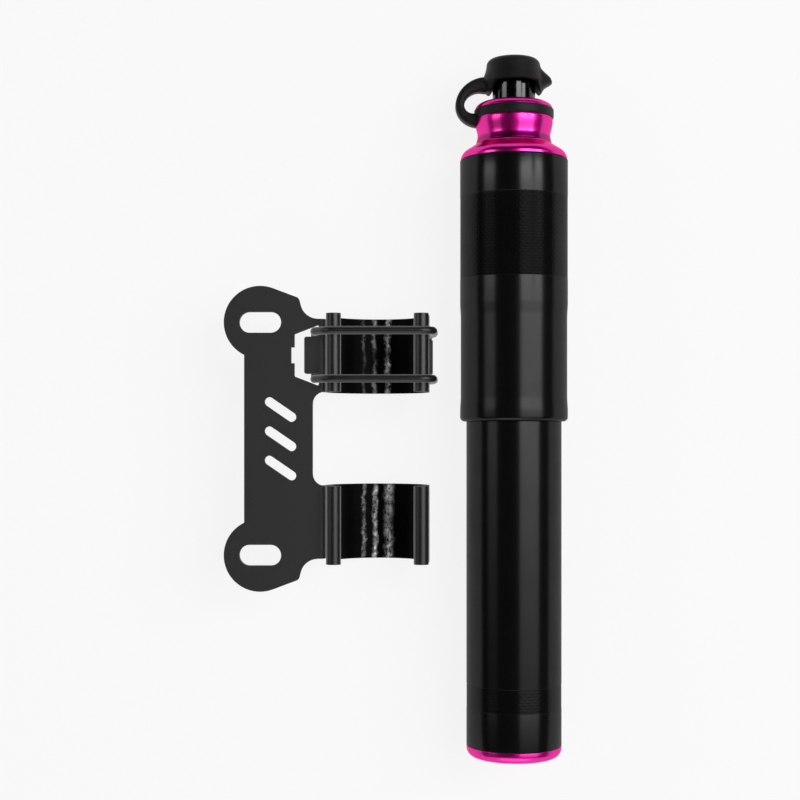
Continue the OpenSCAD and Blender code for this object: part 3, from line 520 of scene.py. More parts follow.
def dashes(first, last, count, height):
    """Relief of staggered dashes between two places: height x wave along s x wave round the axis."""
    def relief(s, r, angle):
        row = (s - first) / ROW
        odd = np.floor(row) % 2
        across = np.clip(np.sin(np.pi * (row % 1)) * 1.6, 0, 1)
        round_it = np.clip(np.sin(np.pi * ((angle / (2 * np.pi) * count + odd / 2) % 1)) * 2.4, 0, 1)
        inside = (s > first) & (s < last) & (r > BARREL_R - 0.3)
        return height * across * round_it * inside
    return relief


def dash_rows(first, last, margin):
    """Places along a band, STEPS to each row, for as many whole rows as its middle holds."""
    count = int((last - first - margin) / ROW)
    start = (first + last - count * ROW) / 2
    return np.linspace(start, start + count * ROW, count * STEPS + 1)


sleeve_foot, sleeve_head = along("sleeve")
SLEEVE_IN, BUSH_R, SLIDE_R = BARREL_R + 0.4, BARREL_R + 0.75, BARREL_R + 0.05
BUSH_HEAD = sleeve_foot + 6
WAIST_FROM, WAIST_TO = sleeve_foot + 3.4, sleeve_foot + 29.4
WAIST_R, WAIST_BEND = SLEEVE_R - 0.18, 12
grip_r = SLEEVE_R - SUNK
rows = dash_rows(GRIP_FROM, GRIP_TO, 0.4)
lower = rounded([
    (sleeve_foot, BUSH_R, 0.1), (sleeve_foot, SLEEVE_R, 1.2), (WAIST_FROM, SLEEVE_R, WAIST_BEND),
    (WAIST_FROM + 3, WAIST_R, WAIST_BEND), (WAIST_TO, WAIST_R, WAIST_BEND),
    (WAIST_TO + 3, SLEEVE_R, WAIST_BEND), (GRIP_FROM, SLEEVE_R, 0.1),
    (GRIP_FROM + SUNK, grip_r, 0.02), (rows[0] - 0.05, grip_r, 0)], 5, loop=False)
upper = rounded([
    (rows[-1] + 0.05, grip_r, 0), (GRIP_TO - SUNK, grip_r, 0.02), (GRIP_TO, SLEEVE_R, 0.1),
    (sleeve_head, SLEEVE_R, 0.12), (sleeve_head, SLEEVE_IN, 0.1), (BUSH_HEAD, SLEEVE_IN, 0.1),
    (BUSH_HEAD, BUSH_R, 0.05), (sleeve_foot, BUSH_R, 0)], 3, loop=False)
grip = np.stack([rows, np.full(len(rows), grip_r)], -1)
sleeve = turned("sleeve_shell", np.vstack([lower, grip, upper]), GRIP_DASHES * 8,
                relief=dashes(rows[0], rows[-1], GRIP_DASHES, DASH_HEIGHT))
fit(sleeve, "head", "black_anodised", "sleeve")
print("grip:", len(rows) // STEPS, "rows of", GRIP_DASHES, "dashes")

# %% Slide bush in the sleeve's foot
bush = turned("slide_bush", rounded([
    (sleeve_foot + 0.1, SLIDE_R, 0.15), (sleeve_foot + 0.1, BUSH_R, 0.1),
    (BUSH_HEAD, BUSH_R, 0.05), (BUSH_HEAD, SLIDE_R, 0.05)]))
fit(bush, "head", "slide_plastic", "guide_ring")

# %% [markdown]
# ## The head collar
# The pink collar closes the sleeve. Its shoulder runs over a rounded edge and down a flank into a
# hollow, its neck draws in and flares out again, a groove holds the rubber ring, and a rounded crown
# surrounds the chuck's socket. The neck's curve is the sum of two smooth steps, one at each end.

# %% Head collar
collar_foot, collar_head = along("head_collar")
RING_FOOT, RING_HEAD = 177.7, 180.3
SHOULDER_HEAD = sleeve_head + 4.6
FOOT_R, NECK_R, NECK_TOP_R, GROOVE_R, CROWN_R = 10.45, 10.1, 10.8, 9.9, 7.2
SOCKET_R, HOSE_HOLE_R, ROD_SEAT_R = 6.25, 3.55, 5.0
SOCKET_FOOT, ROD_SEAT_HEAD = collar_head - 13, collar_head - 16
EDGE = 0.12


def ease(t):
    """Smooth step 3t^2 - 2t^3 from 0 to 1 as t goes from 0 to 1."""
    k = np.clip(t, 0, 1)
    return k * k * (3 - 2 * k)


shoulder = rounded([
    (sleeve_head, SLEEVE_R - 1.1, 0), (sleeve_head, SLEEVE_R - 0.2, 0.8),
    (sleeve_head + 1.8, SLEEVE_R - 0.2, 2.9), (SHOULDER_HEAD, FOOT_R, 1.15),
    (RING_FOOT, FOOT_R, 0)], 10, loop=False)[:-1]
rise = np.linspace(0.15, 1, 22) * (RING_FOOT - SHOULDER_HEAD)
draw_in, flare = ease(rise / 2.6), ease((rise - 2.1) / 3.9)
neck = np.stack([SHOULDER_HEAD + rise, NECK_R + (FOOT_R - NECK_R) * (1 - draw_in)
                 + (NECK_TOP_R - NECK_R) * flare], -1)
neck[-1, 1] -= EDGE
quarter = np.linspace(0, np.pi / 2, 14)
crown = np.stack([RING_HEAD + (collar_head - RING_HEAD) * np.sin(quarter),
                  CROWN_R + (NECK_TOP_R - CROWN_R) * np.cos(quarter)], -1)
profile = np.vstack([
    [[collar_foot, ROD_SEAT_R], [collar_foot, SLEEVE_IN - 0.3], [collar_foot + 0.3, SLEEVE_IN],
     [sleeve_head, SLEEVE_IN]],
    shoulder, neck,
    rounded([(RING_FOOT, NECK_TOP_R - EDGE, 0), (RING_FOOT, GROOVE_R, 0.1),
             (RING_HEAD, GROOVE_R, 0.1), (RING_HEAD, NECK_TOP_R, 0)], 3, loop=False)[1:],
    crown[1:],
    rounded([(collar_head, CROWN_R, 0), (collar_head, SOCKET_R, 0.25), (SOCKET_FOOT, SOCKET_R, 0.1),
             (SOCKET_FOOT, HOSE_HOLE_R, 0)], 4, loop=False)[1:],
    [[ROD_SEAT_HEAD, HOSE_HOLE_R], [ROD_SEAT_HEAD, ROD_SEAT_R]]])
collar = turned("head_collar_turned", profile, 256)
fit(collar, "head", "magenta_anodised", "head_collar")

# %% [markdown]
# ## Barrel and tail
# The barrel is a plain black tube with a narrow grip band near its tail. The pink tail cap closes it
# with a rounded end, and fine turning rings show on its face.

# %% Barrel tube
barrel_foot, barrel_head = along("barrel")
BORE_R = BARREL_R - 1
band_r = BARREL_R - SUNK
rows = dash_rows(BAND_FROM, BAND_TO, 0.3)
profile = np.vstack([
    rounded([(barrel_foot, BORE_R, 0), (barrel_foot, BARREL_R, 0.12), (BAND_FROM, BARREL_R, 0.1),
             (BAND_FROM + SUNK, band_r, 0.02), (rows[0] - 0.05, band_r, 0)], 3, loop=False),
    np.stack([rows, np.full(len(rows), band_r)], -1),
    rounded([(rows[-1] + 0.05, band_r, 0), (BAND_TO - SUNK, band_r, 0.02), (BAND_TO, BARREL_R, 0.1),
             (barrel_head, BARREL_R, 0.3), (barrel_head, BORE_R, 0)], 3, loop=False)])
barrel = turned("barrel_tube", profile, BAND_DASHES * 8,
                relief=dashes(rows[0], rows[-1], BAND_DASHES, DASH_HEIGHT))
fit(barrel, "barrel", "black_anodised", "barrel")

# %% Tail cap
tail_foot, plug_head = along("tail_cap")
FACE_S, FACE_R, RIM_R, PLUG_IN = tail_foot + 0.25, 8.6, 9.0, 9.2
PLUG_R, FLANGE_S = BORE_R - 0.01, barrel_foot - 0.02
profile = rounded([
    (FACE_S, 0, 0), (FACE_S, FACE_R, 0.4), (tail_foot, RIM_R, 0.3), (tail_foot, BARREL_R, 2.5),
    (FLANGE_S, BARREL_R, 0.1), (FLANGE_S, PLUG_R, 0), (plug_head, PLUG_R, 0.3),
    (plug_head, PLUG_IN, 0.2), (barrel_foot, PLUG_IN, 0.3), (barrel_foot, 0, 0)], 9, loop=False)
tail = turned("tail_cap_turned", profile, 256, loop=False)
fit(tail, "barrel", "magenta_anodised", "tail_cap")

# %% [markdown]
# ## The dust cap on its strap
# One rubber moulding holds three things together: a ring in the collar's groove, a strap that bends
# out and back like a C, and the cap over the chuck. The ring stays with the collar and the cap swings
# away with the hose, so the strap between them has to bend with both.

# %% Strap ring
RING_R = GROOVE_R + 1.2
ring = turned("strap_ring", rounded([
    (RING_FOOT, GROOVE_R, 0.1), (RING_FOOT, RING_R, 0.45), (RING_HEAD, RING_R, 0.45),
    (RING_HEAD, GROOVE_R, 0.1)]))
fit(ring, "head", "black_rubber")

# %% [markdown]
# The strap's middle line is half an ellipse about its two ends. At each point of the line stands a
# squared-off oval, whose height grows towards both ends, where the strap melts into its lugs.

# %% Strap
STRAP_W, STRAP_REACH, PATH_STEPS = 5.0, 15.05, 40
STRAP_THIN, FOOT_SWELL, HEAD_SWELL = 2.5, 1.55, 1.9
START, END = np.array([-10.5, 177.3]), np.array([-8.8, 187.1])


def squircle(width, height, count=28, power=4.0):
    """Closed outline |x/w|^p + |y/h|^p = 1, halfway between an ellipse and a rectangle."""
    t = np.linspace(0, 2 * math.pi, count, endpoint=False)
    c, s = np.cos(t), np.sin(t)
    return np.stack([width * np.sign(c) * abs(c) ** (2 / power),
                     height * np.sign(s) * abs(s) ** (2 / power)], -1)


def swept(name, line, side, up, sections):
    """Tube through points line[i]: section point (a, b) lies at line + a * side + b * up."""
    grid = (line[:, None, :] + sections[..., 0, None] * side[:, None, :]
            + sections[..., 1, None] * up[:, None, :])
    ends = [np.repeat(grid[k].mean(0)[None, None], grid.shape[1], 1) for k in (0, -1)]
    return surface(name, np.concatenate([ends[0], grid, ends[1]]), sharp=60)


turn = np.radians(np.linspace(-90, 90, PATH_STEPS + 1))
across = (1 + np.sin(turn)) / 2
bulge = STRAP_REACH + (START[0] + END[0]) / 2
middle = np.stack([START[0] + (END[0] - START[0]) * across - bulge * np.cos(turn),
                   START[1] + (END[1] - START[1]) * across], -1)
middle = np.vstack([[START + [0.5, 0.1]], middle, [END + [1.6, 0.0]]])
tangent = np.gradient(middle, axis=0)
tangent /= np.linalg.norm(tangent, axis=1)[:, None]
t = np.linspace(-1, 1, len(middle))
half = (STRAP_THIN + np.where(t < 0, FOOT_SWELL * abs(t) ** 2.2, HEAD_SWELL * abs(t) ** 1.6)) / 2


def on_pump(points):
    """Points (x, s) beside the pump's axis, at its height, to places on the bench in mm."""
    return np.stack([AXIS_X + points[..., 0], TAIL_Y + points[..., 1],
                     np.full(points.shape[:-1], AXIS_Z)], -1)


normal = np.stack([-tangent[:, 1], tangent[:, 0], 0 * t], -1)
sections = np.stack([squircle(h, STRAP_W / 2 - 0.25 * (1 - abs(k))) for h, k in zip(half, t)])
upright = np.tile([0.0, 0.0, 1.0], (len(middle), 1))
strap = swept("strap", on_pump(middle), normal, upright, sections)
strap_ends = [tuple(on_pump(p) * MM) for p in (START - [0.6, 0], END - [0.4, 0])]
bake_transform(strap, "head", "dust_cap", start=strap_ends[0], end=strap_ends[1])
fit(strap, "dust_cap", "black_rubber", "cap_strap", "cap_ring")
strap_l = np.linalg.norm(np.diff(middle, axis=0), axis=1).sum()
print("strap middle line", round(float(strap_l), 1), "mm")

# %% [markdown]
# The cap is nearly a solid of revolution: a bell with a rounded top over a hollow. But its rim dips at
# two sides, where the pull tab and the strap's root grow out of it. So its surface is a function of
# two numbers, the way along the profile and the angle round the axis. Two smooth humps over the angle
# pull the rim down, and a table of places along the axis says how far the tab stands out.

# %% Dust cap
cap_head = along("dust_cap")[1]
CAP_R, CAP_TOP_R, CAP_ROUND, CAP_INNER = 8.6, 7.5, 2.0, 7.2
RIM, SIDE_LOW = cap_head - 6.7, 2.75
ROOF, ROOF_RISE, CAP_LEAN = cap_head - 2.9, 1.6, 0.03
TAB_S = RIM + np.array([-3.0, -2.1, -1.3, -0.7, -0.2, 0.5, 1.3, 2.1, 3.0, 3.8, 4.6])
TAB_OUT = np.array([0.0, 0.15, 0.5, 1.25, 2.0, 2.1, 1.95, 1.4, 0.65, 0.15, 0.0])


def hump(angle, middle, flat, fade):
    """1 within `flat` degrees of an angle, falling smoothly to 0 over the next `fade` degrees."""
    away = np.degrees(abs((angle - middle + np.pi) % (2 * np.pi) - np.pi))
    return ease((flat + fade - away) / fade)


def bell(around=240):
    """Rows of the cap: top, rounded edge, wall down to the rim, lip, hollow and its domed end."""
    angle = np.linspace(0, 2 * math.pi, around, endpoint=False)[None, :]
    one = np.ones_like(angle)
    low = RIM - SIDE_LOW * np.maximum(hump(angle, 0, 16, 34), hump(angle, math.pi, 20, 32))
    a = np.radians(np.linspace(90, 5, 12))[:, None]
    top_s = cap_head - CAP_ROUND * (1 - np.sin(a)) * one
    top_r = (CAP_TOP_R - CAP_ROUND + CAP_ROUND * np.cos(a)) * one
    wall_s = cap_head - CAP_ROUND + (low - cap_head + CAP_ROUND) * np.linspace(0, 1, 34)[:, None]
    reach = np.clip((cap_head - CAP_ROUND - wall_s) / (cap_head - CAP_ROUND - RIM), 0, 1)
    wall_r = CAP_TOP_R + (CAP_R - CAP_TOP_R) * reach ** 1.1 - 0.36 * np.clip(RIM - wall_s, 0, None)
    wall_r = wall_r + hump(angle, 0, 9, 22) * np.interp(wall_s, TAB_S, TAB_OUT)
    wall_r = wall_r + 0.35 * hump(angle, math.pi, 12, 30) * ease((cap_head - 3 - wall_s) / 3)
    lip, deep, roof = (np.linspace(0, 1, count)[1:, None] for count in (6, 9, 8))
    lip_r = wall_r[-1] + (CAP_INNER - wall_r[-1]) * lip
    lip_s = low - 0.18 * np.sin(lip * np.pi) * one
    in_s, in_r = low + (ROOF - low) * deep, CAP_INNER - 0.5 * deep * one
    roof_r = in_r[-1] * np.cos(roof * np.pi / 2)
    roof_s = ROOF + ROOF_RISE * np.sin(roof * np.pi / 2) * one
    roof_r[-1] = 0
    r = np.concatenate([0 * one, top_r[:1] * 0.5, top_r, wall_r, lip_r, in_r, roof_r])
    s = np.concatenate([cap_head * one, cap_head * one, top_s, wall_s, lip_s, in_s, roof_s])
    x = r * np.cos(angle) - CAP_LEAN * (s - RIM)
    return np.stack([AXIS_X + x, TAIL_Y + s, AXIS_Z + r * np.sin(angle)], -1)


cap = surface("dust_cap_moulded", bell())
fit(cap, "dust_cap", "black_rubber", "dust_cap")

# %% [markdown]
# ## Chuck and hose
# The chuck screws onto a tyre valve. Ten flutes round its mouth give the fingers hold, and the rest is
# smooth. A flute is a round groove: near each flute's middle the radius drops by the depth of a
# circle's arc. The chuck sits on the end of a hose that pulls out of the pump's head.

# %% Fluted chuck
chuck_foot, chuck_head = along("chuck_body")
CHUCK_R, FLUTES, FLUTE_R, FLUTE_DEPTH = 5.95, 10, 1.5, 0.6
FLUTE_L, FLUTE_FADE, FLUTE_TURN = 2.4, 0.6, 9
CHUCK_IN, SWIVEL_R, INSERT_R = 4.46, 2.6, 4.44
SOCKET_FLOOR, GASKET_FOOT = chuck_head - 10, chuck_head - 2


def flutes(s, r, angle):
    """Groove of a round cutter at c from the axis: radius c cos a - sqrt(R^2 - c^2 sin^2 a)."""
    step = 2 * math.pi / FLUTES
    a = (angle + math.radians(FLUTE_TURN) + step / 2) % step - step / 2
    c = CHUCK_R + FLUTE_R - FLUTE_DEPTH
    wide = FLUTE_R ** 2 - (c * np.sin(a)) ** 2
    cut = np.clip(CHUCK_R - c * np.cos(a) + np.sqrt(np.clip(wide, 0, None)), 0, None) * (wide > 0)
    fade = np.clip((s - (chuck_head - FLUTE_L)) / FLUTE_FADE, 0, 1)
    return -cut * np.sqrt(fade) * (r > CHUCK_R - 0.5)


profile = np.vstack([
    rounded([(chuck_foot, SWIVEL_R, 0), (chuck_foot, CHUCK_R, 0.3),
             (chuck_head - 3.1, CHUCK_R, 0)], 4, loop=False),
    np.stack([np.linspace(chuck_head - 3, chuck_head - 0.5, 26), np.full(26, CHUCK_R)], -1),
    rounded([(chuck_head - 0.4, CHUCK_R, 0), (chuck_head, CHUCK_R - 0.4, 0.15),
             (chuck_head, CHUCK_IN, 0.1), (SOCKET_FLOOR, CHUCK_IN, 0.1),
             (SOCKET_FLOOR, SWIVEL_R - 0.04, 0)], 4, loop=False)])
chuck = turned("fluted_chuck", profile, FLUTES * 36, relief=flutes)
fit(chuck, "chuck", "chuck_black", "chuck_body")

# %% Valve insert, gasket, crimped ferrule and hose
insert = turned("valve_insert", rounded([
    (SOCKET_FLOOR, 3.85, 0), (SOCKET_FLOOR, INSERT_R, 0), (GASKET_FOOT, INSERT_R, 0),
    (GASKET_FOOT, 3.85, 0.2)]), 96)
fit(insert, "chuck", "insert_brass", "chuck_insert")
gasket = turned("valve_gasket", rounded([
    (GASKET_FOOT, 2.8, 0.3), (GASKET_FOOT, INSERT_R, 0.1), (chuck_head - 0.05, INSERT_R, 0.2),
    (chuck_head - 0.05, 2.8, 0.5)]), 96)
fit(gasket, "chuck", "black_rubber", "chuck_gasket")
CRIMP = along("hose_ferrule")[0]
HOSE_R = (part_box("hose")[1].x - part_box("hose")[0].x) / 2 / MM
HOSE_BORE_R, NIPPLE_BORE_R, NIPPLE_R, LIP_R = 1.75, 0.9, 2.5, 3.2
COLLAR_R, CRIMPED_R = HOSE_R + 0.9, HOSE_R + 0.6
LIP_FOOT, LIP_HEAD = chuck_head - 9.95, chuck_head - 9.15
ferrule = turned("crimped_ferrule", rounded([
    (CRIMP, NIPPLE_BORE_R, 0), (CRIMP, COLLAR_R, 0.35), (CRIMP + 0.9, COLLAR_R, 0.2),
    (CRIMP + 1.2, CRIMPED_R, 0.2), (CRIMP + 2.0, CRIMPED_R, 0.2), (CRIMP + 2.3, COLLAR_R, 0.2),
    (CRIMP + 3.2, COLLAR_R, 0.35), (CRIMP + 3.2, NIPPLE_R, 0.2), (LIP_FOOT, NIPPLE_R, 0.1),
    (LIP_FOOT, LIP_R, 0.1), (LIP_HEAD, LIP_R, 0.2), (LIP_HEAD, NIPPLE_BORE_R, 0)], 4), 128)
fit(ferrule, "hose", "bare_alloy", "hose_ferrule")
hose_foot, hose_head = along("hose")
hose = turned("hose_tube", rounded([
    (hose_foot, HOSE_BORE_R, 0), (hose_foot, HOSE_R, 0.3), (hose_head, HOSE_R, 0.3),
    (hose_head, HOSE_BORE_R, 0)]), 96)
fit(hose, "hose", "hose_rubber", "hose")

# %% [markdown]
# The check valve sits in the piston: a steel ball on its seat under a light coil spring. When air
# lifts the ball the spring has to shorten. The spring here is a piece of its own, and its wire is a
# circle carried along a helix.

# %% Valve spring
WIRE_R, TURNS, LIFTED = 0.25, 5, 0.825
low, high = (np.array(corner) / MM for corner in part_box("valve_spring"))
coil_r, spring_l = (high[0] - low[0]) / 2 - WIRE_R, high[1] - low[1]
turn = np.linspace(0, 2 * math.pi * TURNS, TURNS * 32 + 1)
outward = np.stack([np.cos(turn), 0 * turn, np.sin(turn)], -1)
climb = low[1] + WIRE_R + (spring_l - 2 * WIRE_R) * turn / turn[-1]
coil = coil_r * outward + np.stack([0 * turn + AXIS_X, climb, 0 * turn + AXIS_Z], -1)
round_wire = np.tile(squircle(WIRE_R, WIRE_R, 12, 2.0), (len(coil), 1, 1))
lengthwise = np.tile([0.0, 1.0, 0.0], (len(coil), 1))
spring = swept("valve_spring_coil", coil, outward, lengthwise, round_wire)
fit(spring, "head", "valve_steel", "valve_spring")
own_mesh(spring)
print("spring of", TURNS, "turns,", round(float(spring_l), 2), "mm long")

# %% [markdown]
# ## The bracket
# The bracket's plate, web and clips are straight cuts of one extrusion, and the CAD model already has
# their shape. A cutter leaves sharp edges and a tumbler takes them off, so a copy of that mesh gets a
# fine bevel on every edge that turns by more than a few degrees.

# %% Bracket with broken edges
BROKEN_EDGE, EDGE_ANGLE, FLAT_ANGLE, WELD = 0.16, 25, 1, 2e-6
SKIN_GAP = 0.25


def softened(name, node, width, angle):
    """Copy of a CAD node: its triangles are joined, flat faces merged and its edges bevelled."""
    mesh = frame["nodes"][node].data.copy()
    mesh.name = name
    bm = bmesh.new()
    bm.from_mesh(mesh)
    bmesh.ops.remove_doubles(bm, verts=bm.verts, dist=WELD)
    bmesh.ops.dissolve_limit(
        bm, angle_limit=math.radians(FLAT_ANGLE), verts=bm.verts, edges=bm.edges)
    bmesh.ops.recalc_face_normals(bm, faces=bm.faces)
    bm.to_mesh(mesh)
    bm.free()
    piece = bpy.data.objects.new(name, mesh)
    bpy.context.scene.collection.objects.link(piece)
    edges = piece.modifiers.new("broken edges", "BEVEL")
    edges.width, edges.segments, edges.limit_method = width * MM, 3, "ANGLE"
    edges.angle_limit = math.radians(angle)
    edges.use_clamp_overlap = True
    mesh.shade_smooth()
    mesh.set_sharp_from_angle(angle=math.radians(angle + 5))
    return piece


bracket = softened("bracket_machined", "bracket", BROKEN_EDGE, EDGE_ANGLE)
fit(bracket, "head", "bracket_black", "bracket")
bracket.visible_glossy = False
bracket.data.materials.append(MATERIALS["clip_bore"])
bracket.data.materials.append(MATERIALS["bead_black"])
middles = np.array([face.center for face in bracket.data.polygons]) / MM
across, height = middles[:, 0] - CLIP_X, middles[:, 2] - CLIP_Z
in_bore = np.hypot(across, height) < BARREL_R + SKIN_GAP
on_bead = (np.hypot(np.abs(across) - BEAD_X, height - BEAD_Z) < BEAD_R + 0.1) & ~in_bore
bracket.data.polygons.foreach_set("material_index", (in_bore + 2 * on_bead).astype(np.int32))
print(int(in_bore.sum()), "faces inside the clips,", int(on_bead.sum()), "on their beads")

# %% [markdown]
# ## The retaining band
# A loop of round rubber cord runs over the mouth of the upper clip. It hooks behind the tongue in the
# window and under a small ledge on the far side, and leans on both beads on its way.

# %% Band
CORD_R, PLATE_TOP, WINDOW_X = 1.1, 8.0, -16.1
STRAND_Y, TONGUE_Y, LEDGE_LOW = 6.55, 22.95, 4.0
HOOK_R, TUCK_R, TUCK_TURN = 1.5, 1.8, 6.6


def arc(x, z, radius, start, end, count):
    """Points on a circle about (x, z), between two angles in degrees."""
    a = np.radians(np.linspace(start, end, count))
    return np.stack([x + radius * np.cos(a), z + radius * np.sin(a)], -1)


def band_route():
    """Loop of points: behind the tongue, over both beads, down the clip's wall and under the ledge."""
    skin = CORD_R + 0.12
    over, wall = BEAD_R + skin + 0.03, CLIP_Z + skin + 0.05
    rise, run = BEAD_Z - PLATE_TOP, -BEAD_X - WINDOW_X
    lean = math.degrees(math.atan2(rise, run) + math.asin(BEAD_R / math.hypot(rise, run))) + 90
    span = math.acos((BEAD_R - CLIP_Z) / math.hypot(BEAD_X, BEAD_Z))
    meet = math.degrees(math.atan2(BEAD_Z, BEAD_X) + span) - 180
    below = -math.degrees(math.asin((LEDGE_LOW + skin) / wall))
    left, down = WINDOW_X - skin, PLATE_TOP - 2 - skin
    flat = np.vstack([
        arc(WINDOW_X, PLATE_TOP, skin + 0.05, 180, lean, 6),
        arc(-BEAD_X, BEAD_Z, over, lean, 90, 8),
        np.stack([np.linspace(-9, 9, 7), np.full(7, BEAD_Z + over)], -1),
        arc(BEAD_X, BEAD_Z, over, 90, meet, 12),
        arc(0, 0, wall, meet - 3, below + 4, 5)])
    strand = np.stack([flat[:, 0], np.full(len(flat), STRAND_Y), flat[:, 1]], -1)
    q = np.radians(np.linspace(0, 90, 7))
    hook = np.stack([np.full(7, left), STRAND_Y - HOOK_R + HOOK_R * np.sin(q),
                     down + HOOK_R - HOOK_R * np.cos(q)], -1)
    sink = np.radians(below - TUCK_TURN * np.sin(q))
    tuck = np.stack([wall * np.cos(sink), STRAND_Y - TUCK_R + TUCK_R * np.cos(q),
                     wall * np.sin(sink)], -1)
    upper = np.vstack([[[left, 0, down]], hook, strand, tuck, [[tuck[-1][0], 0, tuck[-1][2]]]])
    lower = upper[-2:0:-1] * [1, -1, 1]
    return np.vstack([upper, lower]) + [CLIP_X, CLIP_Y + TONGUE_Y, CLIP_Z]


def ring_tube(name, points, radius, sides=20, steps=420):
    """Closed tube: circles stand across a smoothed loop of points, at even steps along it."""
    closed = np.vstack([points, points[:1]])
    way = np.r_[0, np.cumsum(np.linalg.norm(np.diff(closed, axis=0), axis=1))]
    even = np.linspace(0, way[-1], steps, endpoint=False)
    line = np.stack([np.interp(even, way, closed[:, k]) for k in range(3)], -1)
    for _ in range(6):
        line = (np.roll(line, 1, 0) + 2 * line + np.roll(line, -1, 0)) / 4
    along_it = np.roll(line, -1, 0) - np.roll(line, 1, 0)
    along_it /= np.linalg.norm(along_it, axis=1)[:, None]
    out = np.cross(along_it, line - line.mean(0))
    out /= np.linalg.norm(out, axis=1)[:, None]
    third = np.cross(along_it, out)
    a = np.linspace(0, 2 * math.pi, sides, endpoint=False)[None, :, None]
    grid = line[:, None] + radius * (np.cos(a) * out[:, None] + np.sin(a) * third[:, None])
    print(name, "loop", round(float(way[-1]), 1), "mm")
    return surface(name, grid, loop_rows=True)


band_piece = ring_tube("rubber_band", band_route(), CORD_R)
fit(band_piece, "head", "black_rubber", "retaining_band")
band_piece.data.materials[0] = MATERIALS["cord_rubber"]
band_piece.visible_glossy = False

# %% [markdown]
# ## Bench and light
# The floor is one large sheet. Seen by the camera it is nearly white, and part of it still catches
# the soft shadow under the pump. Round polished tubes show the whole room as bands along them, so the
# room is built as bands: a softbox hangs on each side of the axis, brighter towards the pump's head,
# and an arched black cloth behind them keeps all else dark. Two narrow strips of the cloth hang before
# the right softbox and split its reflection on the collar and the chuck. A smaller softbox stands
# beyond the foot of the bench. The floor is made first.

# %% Floor
def pale(name, level, shadow):
    """Floor finish: plain white that lights and shades, shown to the camera as a steady pale tone."""
    material = bpy.data.materials.new(name)
    material.use_nodes = True
    tree = material.node_tree
    shader, out = tree.nodes["Principled BSDF"], tree.nodes["Material Output"]
    tone = (level, level, level, 1)
    shader.inputs["Base Color"].default_value = tone
    shader.inputs["Roughness"].default_value = 0.9
    shader.inputs["Specular IOR Level"].default_value = 0.1
    light = make(tree, "ShaderNodeEmission", None, {"Color": tone, "Strength": 1.0})
    seen = [make(tree, "ShaderNodeLightPath", None, None, k) for k in ("Is Camera Ray", "Is Glossy Ray")]
    share = seen[0].math("MINIMUM", seen[0] + seen[1], 1.0) * (1 - shadow)
    mixed = tree.nodes.new("ShaderNodeMixShader")
    tree.links.new(share.socket, mixed.inputs[0])
    tree.links.new(shader.outputs[0], mixed.inputs[1])
    tree.links.new(light.socket, mixed.inputs[2])
    tree.links.new(mixed.outputs[0], out.inputs["Surface"])
    return material


bpy.ops.mesh.primitive_plane_add(size=12)
floor = bpy.context.object
floor.name = "floor"
floor.data.materials.append(pale("pale_floor", level=0.98, shadow=0.12))
floor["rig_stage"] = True

# %% Softboxes
def softbox(name, start, end, foot, head, radiance, grow):
    """Lamp 1 m off the axis between two angles from the vertical: radiance x e^(grow x y)."""
    middle, half = math.radians(start + end) / 2, math.radians(end - start) / 2
    data = bpy.data.lights.new(name, "AREA")
    data.shape, data.size, data.size_y = "RECTANGLE", 2 * math.tan(half), head - foot
    data.energy = radiance * math.pi * data.size * data.size_y
    data.use_nodes = True
    tree = data.node_tree
    spot = make(tree, "ShaderNodeNewGeometry", output=5)
    v = make(tree, "ShaderNodeSeparateXYZ", None, {0: spot}, 1)
    level = v.math("POWER", math.e, (v * (head - foot) + foot) * grow)
    tree.links.new(level.socket, tree.nodes["Emission"].inputs["Strength"])
    lamp = bpy.data.objects.new(name, data)
    bpy.context.scene.collection.objects.link(lamp)
    lamp.location = (AXIS_X * MM + math.sin(middle), (foot + head) / 2, AXIS_Z * MM + math.cos(middle))
    lamp.rotation_euler = (0, middle, 0)


def end_box(name, y, height, radiance):
    """Smaller lamp beyond one end of the bench, facing its middle."""
    data = bpy.data.lights.new(name, "AREA")
    data.shape, data.size, data.size_y = "RECTANGLE", 1.4, 0.8
    data.energy = radiance * math.pi * data.size * data.size_y
    lamp = bpy.data.objects.new(name, data)
    bpy.context.scene.collection.objects.link(lamp)
    lamp.location = (0, y, height)
    lamp.rotation_euler = (-math.atan2(y, height), 0, 0)


softbox("right_softbox", start=10, end=58, foot=-0.6, head=0.45, radiance=2.8, grow=2.7)
softbox("left_softbox", start=-69, end=-45, foot=-0.6, head=0.40, radiance=0.95, grow=4.5)
end_box("foot_softbox", y=-1.35, height=0.75, radiance=1.0)

# %% Dark cloth and room
cloth = bpy.data.materials.new("black_cloth")
cloth.use_nodes = True
cloth_shader = cloth.node_tree.nodes["Principled BSDF"]
cloth_shader.inputs["Base Color"].default_value = (0.01, 0.01, 0.01, 1)
cloth_shader.inputs["Roughness"].default_value = 1.0
cloth_shader.inputs["Specular IOR Level"].default_value = 0.0


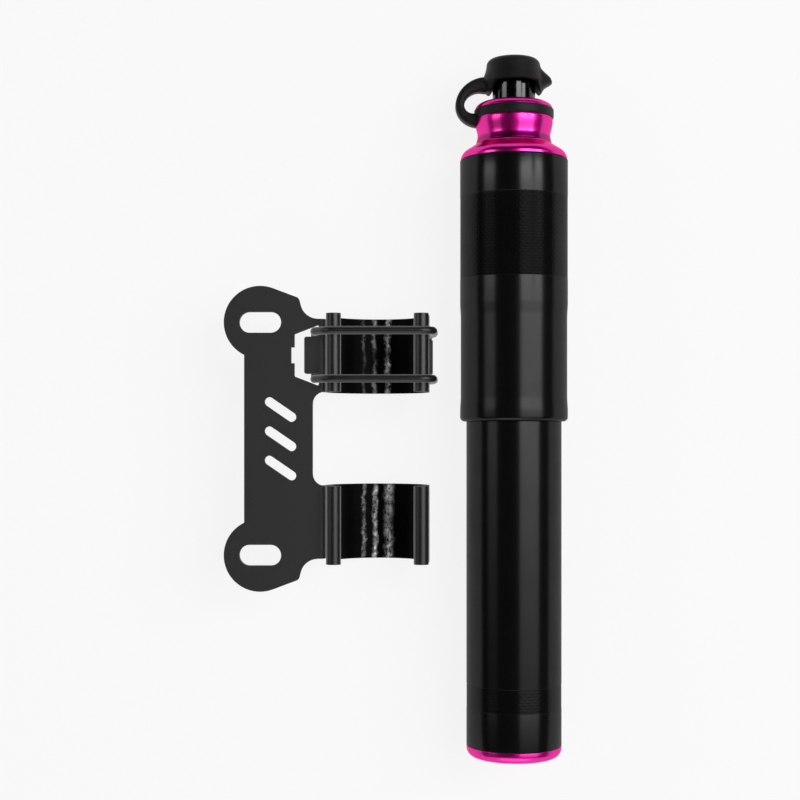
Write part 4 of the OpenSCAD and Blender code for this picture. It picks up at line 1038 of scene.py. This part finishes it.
def dark_cloth(name, start, end, distance, foot, head, count=24):
    """Arched sheet round the axis between two angles and two places along Y, hidden from view."""
    a = np.radians(np.linspace(start, end, count + 1))
    arch = np.stack([AXIS_X * MM + distance * np.sin(a), 0 * a, AXIS_Z * MM + distance * np.cos(a)], -1)
    points = np.concatenate([arch + [0, foot, 0], arch + [0, head, 0]])
    mesh = bpy.data.meshes.new(name)
    faces = [(k, k + 1, k + count + 2, k + count + 1) for k in range(count)]
    mesh.from_pydata(points.tolist(), [], faces)
    mesh.materials.append(cloth)
    sheet = bpy.data.objects.new(name, mesh)
    bpy.context.scene.collection.objects.link(sheet)
    sheet.visible_camera = False
    sheet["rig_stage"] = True


dark_cloth("dark_tent", -88, 88, distance=1.15, foot=-0.9, head=2.5)
dark_cloth("dark_strip", 36.5, 39.5, distance=0.92, foot=0.17, head=0.6, count=2)
dark_cloth("dark_strip_end", 35, 41.5, distance=0.9, foot=0.27, head=0.6, count=2)

ROOM_LEVEL, ROOM_LIGHT = 0.947, 0.35
world = bpy.data.worlds.new("room")
bpy.context.scene.world = world
world.use_nodes = True
tree = world.node_tree
seen = [make(tree, "ShaderNodeLightPath", None, None, k)
        for k in ("Is Camera Ray", "Is Glossy Ray", "Is Transmission Ray")]
shown = seen[0].math("MINIMUM", seen[0] + seen[1] + seen[2], 1.0)
back = tree.nodes["Background"]
back.inputs["Color"].default_value = (ROOM_LEVEL, ROOM_LEVEL, ROOM_LEVEL, 1)
strength = ROOM_LIGHT + shown * (1 - ROOM_LIGHT)
tree.links.new(strength.socket, back.inputs["Strength"])

# %% [markdown]
# ## Camera
# The camera looks straight down from about 44 cm above the bench, near enough to see a little of each
# end of the tubes. A small upward shift frames the pump, as a view camera does, without tilting.

# %% Camera
FOCAL_PX, IMAGE_PX, SHIFT_PX, SENSOR = 1530, 800, 35, 36.0
CAMERA_AT = (0.0008, -0.00766, 0.4424)
lens = bpy.data.cameras.new("camera")
lens.sensor_width = SENSOR
lens.lens = FOCAL_PX / IMAGE_PX * SENSOR
lens.shift_y = SHIFT_PX / IMAGE_PX
lens.clip_start, lens.clip_end = 0.01, 20
camera = bpy.data.objects.new("camera", lens)
bpy.context.scene.collection.objects.link(camera)
camera.location = CAMERA_AT
bpy.context.scene.camera = camera
bpy.context.scene.view_settings.view_transform = "Standard"
print("lens", round(lens.lens, 1), "mm")

# %% Sizes and finish
dressed_box = [list(corner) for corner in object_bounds()]
for k, axis in enumerate("xyz"):
    for label, box in (("CAD", cad_box), ("dressed", dressed_box)):
        print(axis, label, [round(corner[k] / MM, 2) for corner in box])
